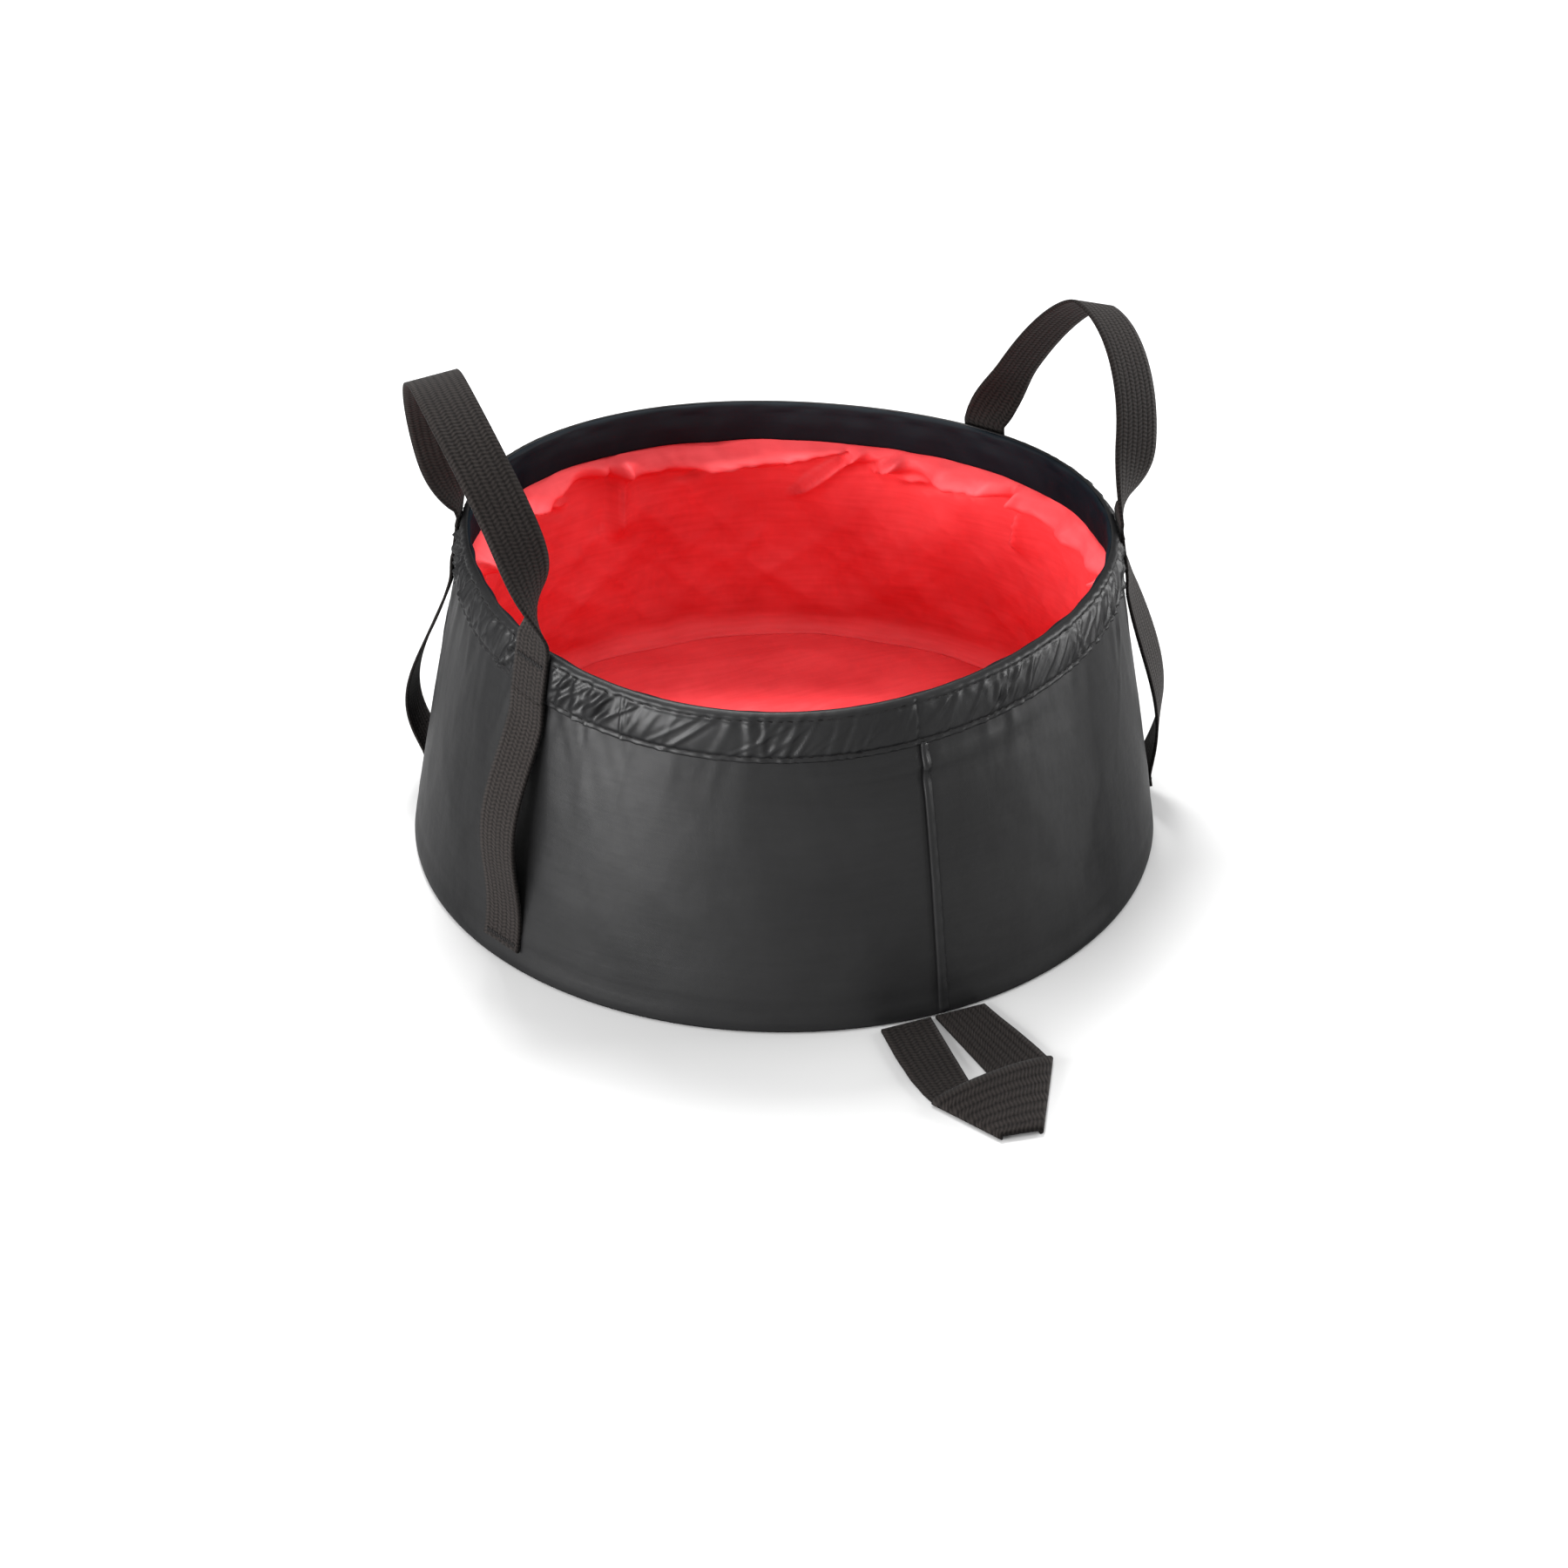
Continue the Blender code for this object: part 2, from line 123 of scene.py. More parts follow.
class NodeSheet:
    """Adds and links the shader nodes of one material."""

    def __init__(self, name: str) -> None:
        """Makes an empty material with a Principled shader.

        Args:
            name: The material's name.
        """
        self.material = bpy.data.materials.new(name)
        self.material.use_nodes = True
        self.tree = self.material.node_tree
        self.shader = self.tree.nodes["Principled BSDF"]

    def feed(self, target: Socket, value: object) -> None:
        """Gives an input its value.

        Args:
            target: The input.
            value: A socket to link it to, or a number or colour to set on it.
        """
        if isinstance(value, Socket):
            self.tree.links.new(value, target)
        else:
            target.default_value = value

    def add(self, kind: str, **settings: object) -> bpy.types.Node:
        """Adds a node with its properties and inputs.

        Args:
            kind: Blender's node type without its ShaderNode prefix.
            settings: Values by property name, or by input name with underscores for spaces.

        Returns:
            The node.
        """
        node = self.tree.nodes.new("ShaderNode" + kind)
        for key, value in settings.items():
            if hasattr(node, key):
                setattr(node, key, value)
            else:
                self.feed(node.inputs[key.replace("_", " ")], value)
        return node

    def dress(self, **inputs: object) -> bpy.types.Material:
        """Gives the shader its inputs.

        Args:
            inputs: Values by input name, with underscores for spaces.

        Returns:
            The material.
        """
        for key, value in inputs.items():
            self.feed(self.shader.inputs[key.replace("_", " ")], value)
        return self.material

    def math(self, operation: str, first: object, second: object = 0.0) -> Socket:
        """Adds one Math node.

        Args:
            operation: Blender's operation name.
            first: A socket or a number.
            second: A socket or a number.

        Returns:
            The result's socket.
        """
        node = self.add("Math", operation=operation)
        self.feed(node.inputs[0], first)
        self.feed(node.inputs[1], second)
        return node.outputs[0]

    def plus(self, first: object, second: object) -> Socket:
        """The sum of two sockets or numbers."""
        return self.math("ADD", first, second)

    def minus(self, first: object, second: object) -> Socket:
        """The first socket or number less the second."""
        return self.math("SUBTRACT", first, second)

    def times(self, first: object, second: object) -> Socket:
        """The product of two sockets or numbers."""
        return self.math("MULTIPLY", first, second)

    def place(self) -> Socket:
        """Object coordinates in metres."""
        return self.add("TexCoord").outputs["Object"]

    def uv(self) -> tuple[Socket, Socket, Socket]:
        """Reads the piece's own UV map.

        Returns:
            The vector, across and along sockets.
        """
        vector = self.add("TexCoord").outputs["UV"]
        split = self.add("SeparateXYZ", Vector=vector)
        return vector, split.outputs["X"], split.outputs["Y"]

    def noise(self, vector: Socket, scale: float, detail: float = 3.0,
              stretch: tuple[float, float, float] = (1.0, 1.0, 1.0)) -> Socket:
        """Adds a noise field.

        Args:
            vector: Coordinates in metres.
            scale: Blotches per metre.
            detail: Octaves.
            stretch: Scale along each axis.

        Returns:
            The field's socket, from 0 to 1.
        """
        mapped = self.add("Mapping", Vector=vector, Scale=stretch).outputs[0]
        return self.add("TexNoise", Vector=mapped, Scale=scale, Detail=detail).outputs["Fac"]

    def ramp(self, value: Socket, low: tuple[float, Colour], high: tuple[float, Colour]) -> Socket:
        """Adds a colour ramp.

        Args:
            value: The socket that picks the colour.
            low: Place and linear colour of the ramp's start.
            high: Place and linear colour of its end.

        Returns:
            The colour socket.
        """
        node = self.add("ValToRGB", Fac=value)
        for element, (place, colour) in zip(node.color_ramp.elements, (low, high), strict=True):
            element.position = place
            element.color = (*colour, 1.0)
        return node.outputs[0]

    def bump(self, height: Socket, distance: float, strength: float, under: Socket | None = None) -> Socket:
        """Adds a bump layer.

        Args:
            height: Height field.
            distance: Height of one unit, in metres.
            strength: How much of it shows.
            under: Normal of the layer below, if there is one.

        Returns:
            The normal socket.
        """
        node = self.add("Bump", Height=height, Distance=distance, Strength=strength)
        if under is not None:
            self.feed(node.inputs["Normal"], under)
        return node.outputs[0]


@dataclass(frozen=True)
class CoatedCloth:
    """Woven nylon with a smooth coating: fine weave, soft crumples and uneven gloss."""

    name: str
    light: Colour
    dark: Colour
    gloss_low: float
    gloss_high: float
    thread_pitch: float = 0.00055
    weave_depth: float = 0.00003
    weave_shade: float = 0.04
    streak_scale: float = 420.0
    streak_shade: float = 0.30
    grain_middle: float = 0.15
    blotch_scale: float = 22.0
    blotch_shade: float = 0.75
    # Weight of the painted light and shade that follow the crumples in the colour.
    crumple_painted_shade: float = 0.25
    crumple_depth: float = 0.0005
    crumple_scale: float = 55.0
    specular: float = 0.3
    face_shine: float = 1.15
    edge_fall: float = 2.0
    least_shine: float = 0.08

    def build(self) -> bpy.types.Material:
        """Builds the cloth on a UV map whose unit is the metre.

        Returns:
            The material.
        """
        sheet = NodeSheet(self.name)
        vector, across, along = sheet.uv()
        blotch = sheet.noise(vector, self.blotch_scale, 4.0)
        crumple = sheet.noise(vector, self.crumple_scale, 5.0, (1.0, 0.55, 1.0))
        warp, weft = (sheet.math("SINE", sheet.times(run, TAU / self.thread_pitch)) for run in (across, along))
        weave = sheet.times(warp, weft)
        # The crumple field that raises the bump also sets part of the colour: painted light on the crumples' bulges
        # and painted shade in their hollows, on top of the random blotch tone.
        shade = sheet.plus(sheet.times(blotch, self.blotch_shade), sheet.times(crumple, self.crumple_painted_shade))
        streak = sheet.noise(vector, self.streak_scale, 2.0, (0.12, 1.0, 1.0))
        grain = sheet.plus(sheet.times(weave, self.weave_shade), sheet.times(streak, self.streak_shade))
        shade = sheet.plus(shade, sheet.minus(grain, self.grain_middle))
        normal = sheet.bump(crumple, self.crumple_depth, 0.6)
        normal = sheet.bump(streak, self.weave_depth * 3.0, 0.6, normal)
        facing = sheet.add("LayerWeight", Blend=0.5).outputs["Facing"]
        shine = sheet.minus(self.face_shine, sheet.times(facing, self.edge_fall))
        shine = sheet.math("MAXIMUM", shine, self.least_shine)
        return sheet.dress(
            Base_Color=sheet.ramp(shade, (0.25, self.dark), (0.75, self.light)),
            Roughness=sheet.plus(sheet.times(blotch, self.gloss_high - self.gloss_low), self.gloss_low),
            Normal=sheet.bump(weave, self.weave_depth, 0.5, normal),
            Specular_IOR_Level=sheet.times(shine, self.specular))


@dataclass(frozen=True)
class RibbedWebbing:
    """Woven webbing with raised ribs along it and short slanted picks across each rib."""

    name: str = "ribbed webbing"
    light: Colour = (0.0180, 0.0152, 0.0142)
    dark: Colour = (0.0046, 0.0039, 0.0037)
    ribs: int = 8
    rib_depth: float = 0.00026
    # Weight of the painted shade in the grooves between the ribs.
    rib_painted_shade: float = 0.62
    pick_pitch: float = 0.0016
    pick_slant: float = 1.6
    # Weight of the painted shade between the picks.
    pick_painted_shade: float = 0.30
    fuzz_scale: float = 1100.0
    fuzz_middle: float = 0.42
    fuzz_shade: float = 1.10
    blotch_scale: float = 60.0
    blotch_range: tuple[float, float] = (0.7, 0.5)

    def build(self) -> bpy.types.Material:
        """Builds the webbing on a UV map that runs 0 to 1 across and in metres along.

        Returns:
            The material.
        """
        sheet = NodeSheet(self.name)
        vector, across, along = sheet.uv()
        to_metres = (WEBBING_WIDTH, 1.0, 1.0)
        turn = sheet.times(across, self.ribs * math.pi)
        rib = sheet.math("ABSOLUTE", sheet.math("SINE", turn))
        slant = sheet.times(sheet.math("COSINE", turn), self.pick_slant)
        picks = sheet.math("SINE", sheet.plus(sheet.times(along, TAU / self.pick_pitch), slant))
        # The ribs and picks that make the bump also make the colour: light on their crests and dark in the grooves
        # between them, painted shade in the weave's hollows.
        weave = sheet.plus(sheet.times(rib, self.rib_painted_shade), sheet.times(picks, self.pick_painted_shade))
        fuzz = sheet.noise(vector, self.fuzz_scale, 3.0, to_metres)
        blotch = sheet.noise(vector, self.blotch_scale, 3.0, to_metres)
        span, low = self.blotch_range
        shade = sheet.times(weave, sheet.plus(sheet.times(blotch, span), low))
        shade = sheet.plus(shade, sheet.times(sheet.minus(fuzz, self.fuzz_middle), self.fuzz_shade))
        normal = sheet.bump(weave, self.rib_depth, 0.9)
        return sheet.dress(
            Base_Color=sheet.ramp(shade, (0.0, self.dark), (0.95, self.light)),
            Normal=sheet.bump(fuzz, self.rib_depth, 0.7, normal),
            Roughness=0.75, Specular_IOR_Level=0.05, Sheen_Weight=0.02, Sheen_Roughness=0.4)


@dataclass(frozen=True)
class SpunThread:
    """Twisted sewing thread."""

    name: str
    colour: Colour
    fibre_scale: float = 2500.0
    fibre_depth: float = 0.0001

    def build(self) -> bpy.types.Material:
        """Builds the thread on object coordinates.

        Returns:
            The material.
        """
        sheet = NodeSheet(self.name)
        fibre = sheet.noise(sheet.place(), self.fibre_scale, 2.0)
        dark = tuple(channel * 0.5 for channel in self.colour)
        return sheet.dress(
            Base_Color=sheet.ramp(fibre, (0.3, dark), (0.7, self.colour)),
            Normal=sheet.bump(fibre, self.fibre_depth, 0.6), Roughness=0.6, Specular_IOR_Level=0.12)


@dataclass(frozen=True)
class SpringWire:
    """Drawn spring steel with fine scratches."""

    name: str = "spring wire"
    light: Colour = (0.62, 0.62, 0.64)
    dark: Colour = (0.35, 0.35, 0.36)
    scratch_scale: float = 1800.0

    def build(self) -> bpy.types.Material:
        """Builds the wire on object coordinates.

        Returns:
            The material.
        """
        sheet = NodeSheet(self.name)
        scratch = sheet.noise(sheet.place(), self.scratch_scale, 2.0, (1.0, 1.0, 0.1))
        return sheet.dress(
            Base_Color=sheet.ramp(scratch, (0.3, self.dark), (0.7, self.light)),
            Roughness=sheet.plus(sheet.times(scratch, 0.2), 0.2), Metallic=1.0)


@dataclass(frozen=True)
class BasinForm:
    """The soft shape that wall, hem, lining and straps follow, as the CAD model has it."""

    base_radius: float = 0.155
    rim_radius: float = 0.132
    rim_height: float = 0.1274
    back_lean: float = 0.005
    oval: float = 0.003
    lobe: float = 0.005
    lobe_turn: float = math.radians(-10.0)
    droop: float = 0.003
    hem_depth: float = 0.018
    hem_standoff: float = 0.0011

    @property
    def hem_foot(self) -> float:
        """Height of the hem's lower edge."""
        return self.rim_height - self.hem_depth

    def radius_at(self, angle: Numbers) -> Numbers:
        """Outside radius of the rim."""
        lobes = self.lobe * np.cos(3.0 * (angle - self.lobe_turn))
        return self.rim_radius + self.back_lean * np.sin(angle) - self.oval * np.cos(2.0 * angle) + lobes

    def height_at(self, angle: Numbers) -> Numbers:
        """True height of the rim."""
        return self.rim_height + self.droop * np.cos(2.0 * angle)

    def points(self, angle: Numbers, offset: Numbers, height: Numbers) -> np.ndarray:
        """Finds places on or off the wall.

        Args:
            angle: Angle round the basin.
            offset: Distance outside the wall's outer face.
            height: Height on a level rim.

        Returns:
            An array of points.
        """
        share = height / self.rim_height
        top = self.radius_at(angle) - self.hem_standoff
        radius = self.base_radius + (top - self.base_radius) * share + offset
        return np.stack([radius * np.cos(angle), radius * np.sin(angle), share * self.height_at(angle)], -1)

    def point(self, angle: float, offset: float, height: float) -> Vector:
        """One place on or off the wall, as points() finds it."""
        return Vector(self.points(angle, offset, height))


FORM = BasinForm()


def between(low: float, high: float, value: Numbers) -> Numbers:
    """Smooth share of the way from low to high."""
    share = np.clip((value - low) / (high - low), 0.0, 1.0)
    return share * share * (3.0 - 2.0 * share)


def bell(distance: Numbers, width: Numbers) -> Numbers:
    """Soft hump: 1 at its middle, a third at its width and nothing beyond two widths."""
    return np.exp(-((distance / width) ** 2))


def angle_apart(angle: Numbers, centre: float) -> Numbers:
    """Signed difference of angles, from -pi to pi."""
    return (angle - centre + math.pi) % TAU - math.pi


def outward_at(angle: float) -> Vector:
    """Level direction away from the axis."""
    return Vector((math.cos(angle), math.sin(angle), 0.0))


def clear_of_straps(angle: np.ndarray) -> np.ndarray:
    """Finds how free the cloth is of the straps, which press it flat.

    Args:
        angle: Angle of each vertex.

    Returns:
        0 under a strap and 1 away from them.
    """
    share = np.ones_like(angle)
    for strap in STRAP_ANGLES.values():
        share *= between(*STRAP_PRESS, np.abs(angle_apart(angle, strap)) * FORM.rim_radius)
    return share


@dataclass(frozen=True)
class Wave:
    """One sine wave: its height, its turns round the basin, its phase and its drift with another measure."""

    height: float
    turns: float
    phase: float = 0.0
    drift: float = 0.0


def swell(waves: tuple[Wave, ...], angle: np.ndarray, level: Numbers = 0.0) -> np.ndarray:
    """Adds waves up.

    Args:
        waves: The waves.
        angle: Where each vertex is along them.
        level: What they drift with.

    Returns:
        Their sum at each vertex.
    """
    return sum(wave.height * np.sin(wave.turns * angle + wave.drift * level + wave.phase) for wave in waves)


@dataclass
class Gathers:
    """Puckers that the rim's drawn-in stitching makes: slanted ridges with a groove beside them, closer at straps."""

    count: int
    seed: int
    width: tuple[float, float]
    depth: tuple[float, float]
    slant: float
    lean: float = 0.0
    reach: tuple[float, float] = (0.006, 0.030)
    strap_share: float = 0.40
    strap_spread: float = 0.13
    strap_depth: float = 1.7
    open_depth: float = 0.95
    groove_depth: float = 0.5
    groove_width: float = 2.2
    ridges: np.ndarray = field(init=False)

    def __post_init__(self) -> None:
        """Draws the ridges: angle, half width, depth, slant and reach of each."""
        rng = np.random.default_rng(self.seed)
        angle = rng.uniform(0.0, TAU, self.count)
        near = rng.random(self.count) < self.strap_share
        straps = rng.choice(np.array(list(STRAP_ANGLES.values())), self.count)
        angle = np.where(near, straps + rng.normal(0.0, self.strap_spread, self.count), angle)
        width = rng.uniform(*self.width, self.count)
        depth = rng.uniform(*self.depth, self.count) * np.where(near, self.strap_depth, self.open_depth)
        slant = rng.normal(self.lean, self.slant, self.count)
        reach = rng.uniform(*self.reach, self.count)
        self.ridges = np.stack([angle, width, depth, slant, reach], -1)

    def relief(self, angle: np.ndarray, height: np.ndarray, share: np.ndarray, below: Numbers = 0.0) -> np.ndarray:
        """Adds the ridges up.

        Args:
            angle: Angle of each vertex.
            height: Height of each vertex.
            share: Share of the ridges' depth that is left there.
            below: Distance along which each ridge dies away with its own reach.

        Returns:
            Height of the relief in metres.
        """
        total = np.zeros_like(angle)
        for centre, width, depth, slant, reach in self.ridges:
            run = angle_apart(angle, centre) * FORM.rim_radius - slant * (height - FORM.hem_foot)
            ridge = bell(run, width) - self.groove_depth * bell(run, self.groove_width * width)
            total += depth * ridge * (np.exp(-below / reach) * share)
        return total


@dataclass
class Crumple:
    """Sharp random creases that cross each other, as in crushed coated cloth.

    There are so many waves of creases, between the coarsest and the finest, counted round the basin. Each wanders
    by the amounts and turns of the two bends.
    """

    seed: int
    waves: int
    finest: int
    coarsest: int
    steepness: tuple[float, float] = (0.15, 1.3)
    least_weight: float = 0.15
    sharpness: float = 1.6
    bend_round: tuple[float, float] = (1.1, 3.0)
    bend_down: tuple[float, float] = (0.8, 90.0)
    creases: np.ndarray = field(init=False)

    def __post_init__(self) -> None:
        """Draws each family of creases: turns round the basin, run down the wall, phase and weight."""
        rng = np.random.default_rng(self.seed)
        turns = rng.integers(self.coarsest, self.finest, self.waves) * rng.choice((-1, 1), self.waves)
        run = rng.uniform(*self.steepness, self.waves) * np.abs(turns) / FORM.rim_radius
        weight = self.coarsest / np.abs(turns) + self.least_weight
        self.creases = np.stack([turns, run, rng.uniform(0.0, TAU, self.waves), weight / weight.sum()], -1)

    def relief(self, angle: np.ndarray, height: np.ndarray) -> np.ndarray:
        """Adds the creases up.

        Args:
            angle: Angle of each vertex.
            height: Height of each vertex.

        Returns:
            Share of the full depth, from 0 to 1.
        """
        total = np.zeros_like(angle)
        (amount_round, turns_round), (amount_down, turns_down) = self.bend_round, self.bend_down
        for turns, run, phase, weight in self.creases:
            bend = amount_round * np.sin(turns_round * angle + phase)
            bend += amount_down * np.sin(turns_down * height + 2.0 * phase)
            ridge = 1.0 - np.abs(np.sin((turns * angle + run * height + phase + bend) / 2.0))
            total += weight * ridge**self.sharpness
        return total


def spun_shell(profile: Profile, steps: int) -> bmesh.types.BMesh:
    """Turns an open profile of (offset, height) points right round the basin's axis.

    Args:
        profile: The profile's points.
        steps: Columns round the basin, a multiple of the sectors.

    Returns:
        A closed shell round a plain cylinder, not yet settled on the form.
    """
    bm = bmesh.new()
    verts = [bm.verts.new((FORM.base_radius + offset, 0.0, height)) for offset, height in profile]
    edges = [bm.edges.new(pair) for pair in zip(verts, verts[1:])]
    pivot = {"cent": (0.0, 0.0, 0.0), "axis": UP, "dvec": (0.0, 0.0, 0.0)}
    sector = TAU / SECTORS
    bmesh.ops.spin(bm, geom=verts + edges, angle=sector, steps=steps // SECTORS, use_duplicate=False, **pivot)
    bmesh.ops.spin(bm, geom=bm.verts[:] + bm.edges[:] + bm.faces[:], angle=TAU - sector, steps=SECTORS - 1,
                   use_duplicate=True, **pivot)
    bmesh.ops.remove_doubles(bm, verts=bm.verts, dist=WELD_DISTANCE)
    return bm


def lay_shell_map(bm: bmesh.types.BMesh, down: bool = False) -> None:
    """Gives a shell round the axis a UV map in metres: along the rim, and along the profile.

    Args:
        bm: The shell, still round a plain cylinder.
        down: True if the profile's offset grows as its height falls.
    """
    layer = bm.loops.layers.uv.new("cloth")
    for face in bm.faces:
        middle = face.calc_center_median()
        centre = math.atan2(middle.y, middle.x)
        for loop in face.loops:
            co = loop.vert.co
            turn = centre + angle_apart(math.atan2(co.y, co.x), centre)
            offset = math.hypot(co.x, co.y) - FORM.base_radius
            loop[layer].uv = (turn * FORM.rim_radius, offset - co.z if down else offset + co.z)


def lay_flat_map(bm: bmesh.types.BMesh, across: float = 1.0, along: float = 1.0) -> None:
    """Gives a flat mesh a UV map in metres.

    Args:
        bm: The mesh.
        across: Length of one unit of its x.
        along: Length of one unit of its y.
    """
    layer = bm.loops.layers.uv.new("cloth")
    for face in bm.faces:
        for loop in face.loops:
            loop[layer].uv = (loop.vert.co.x * across, loop.vert.co.y * along)


def settle(bm: bmesh.types.BMesh, relief: Relief) -> None:
    """Moves a shell from the plain cylinder onto the form.

    Args:
        bm: The shell.
        relief: Gives the extra offset at each angle, offset and height.
    """
    co = np.array([vert.co[:] for vert in bm.verts])
    angle = np.arctan2(co[:, 1], co[:, 0])
    offset = np.hypot(co[:, 0], co[:, 1]) - FORM.base_radius
    placed = FORM.points(angle, offset + relief(angle, offset, co[:, 2]), co[:, 2])
    for vert, place in zip(bm.verts, placed):
        vert.co = place


def turn_faces(bm: bmesh.types.BMesh, facing: Facing) -> None:
    """Turns all faces of a thin piece to one side.

    Args:
        bm: Its mesh.
        facing: The side.
    """
    bmesh.ops.recalc_face_normals(bm, faces=bm.faces)
    level = facing in (Facing.UP, Facing.DOWN)
    total = 0.0
    for face in bm.faces:
        middle = face.calc_center_median()
        total += face.calc_area() * face.normal.dot(UP if level else Vector((*middle.xy, 0.0)).normalized())
    if (total > 0.0) != (facing in (Facing.OUT, Facing.UP)):
        bmesh.ops.reverse_faces(bm, faces=bm.faces)


def cloth_shell(profile: Profile, steps: int, relief: Relief, facing: Facing, down: bool = False
                ) -> bmesh.types.BMesh:
    """Makes a shell of cloth that lies on the form, with its UV map.

    Args:
        profile: The (offset, height) points of its profile.
        steps: Columns round the basin, a multiple of the sectors.
        relief: Gives the extra offset at each angle, offset and height.
        facing: Which way its faces look.
        down: True if the profile's offset grows as its height falls.

    Returns:
        The shell.
    """
    bm = spun_shell(profile, steps)
    lay_shell_map(bm, down)
    settle(bm, relief)
    turn_faces(bm, facing)
    return bm


def put_in_scene(name: str, data: bpy.types.ID) -> bpy.types.Object:
    """Makes an object at the origin.

    Args:
        name: Its name.
        data: Its mesh, light or camera.

    Returns:
        The object.
    """
    thing = bpy.data.objects.new(name, data)
    bpy.context.scene.collection.objects.link(thing)
    return thing


def dressed_mesh(name: str, bm: bmesh.types.BMesh, material: bpy.types.Material) -> bpy.types.Mesh:
    """Makes a mesh of a bmesh.

    Args:
        name: Its name.
        bm: The bmesh, which is freed.
        material: Its finish.

    Returns:
        The mesh.
    """
    mesh = bpy.data.meshes.new(name)
    bm.to_mesh(mesh)
    bm.free()
    mesh.materials.append(material)
    return mesh


def finish_piece(name: str, bm: bmesh.types.BMesh, material: bpy.types.Material, slot: Slot,
                 thickness: float = 0.0, offset: float = -1.0) -> bpy.types.Object:
    """Makes a named, smooth piece of a bmesh.

    Args:
        name: The piece's name.
        bm: Its mesh, which is freed.
        material: Its finish.
        slot: Not used.
        thickness: Thickness that a Solidify modifier gives it, if any.
        offset: Where the thickness goes: -1 behind the faces, 0 to both sides.

    Returns:
        The object, at the origin.
    """
    mesh = dressed_mesh(name, bm, material)
    mesh.shade_smooth()
    piece = put_in_scene(name, mesh)
    if thickness:
        solid = piece.modifiers.new("thickness", "SOLIDIFY")
        solid.thickness = thickness
        solid.offset = offset
    LOG.info("%s: %d faces", name, len(mesh.polygons))
    return piece


def fold_flat(piece: bpy.types.Object) -> None:
    """Keeps a piece on the base, with a mesh of its own.

    Args:
        piece: The piece.
    """
    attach(piece, Body.BASE.value)
    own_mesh(piece)


def add_stitch(bm: bmesh.types.BMesh, start: Vector, end: Vector, radius: float) -> None:
    """Adds one short thread with rounded ends.

    Args:
        bm: The mesh that it is added to.
        start: One end.
        end: The other end.
        radius: The thread's radius.
    """
    made = bmesh.ops.create_icosphere(bm, subdivisions=1, radius=1.0)["verts"]
    middle, run = (start + end) / 2.0, end - start
    turn = run.to_track_quat("X", "Z")
    for vert in made:
        local = Vector((vert.co.x * (run.length / 2.0 + radius * 0.4), vert.co.y * radius, vert.co.z * radius))
        vert.co = middle + turn @ local


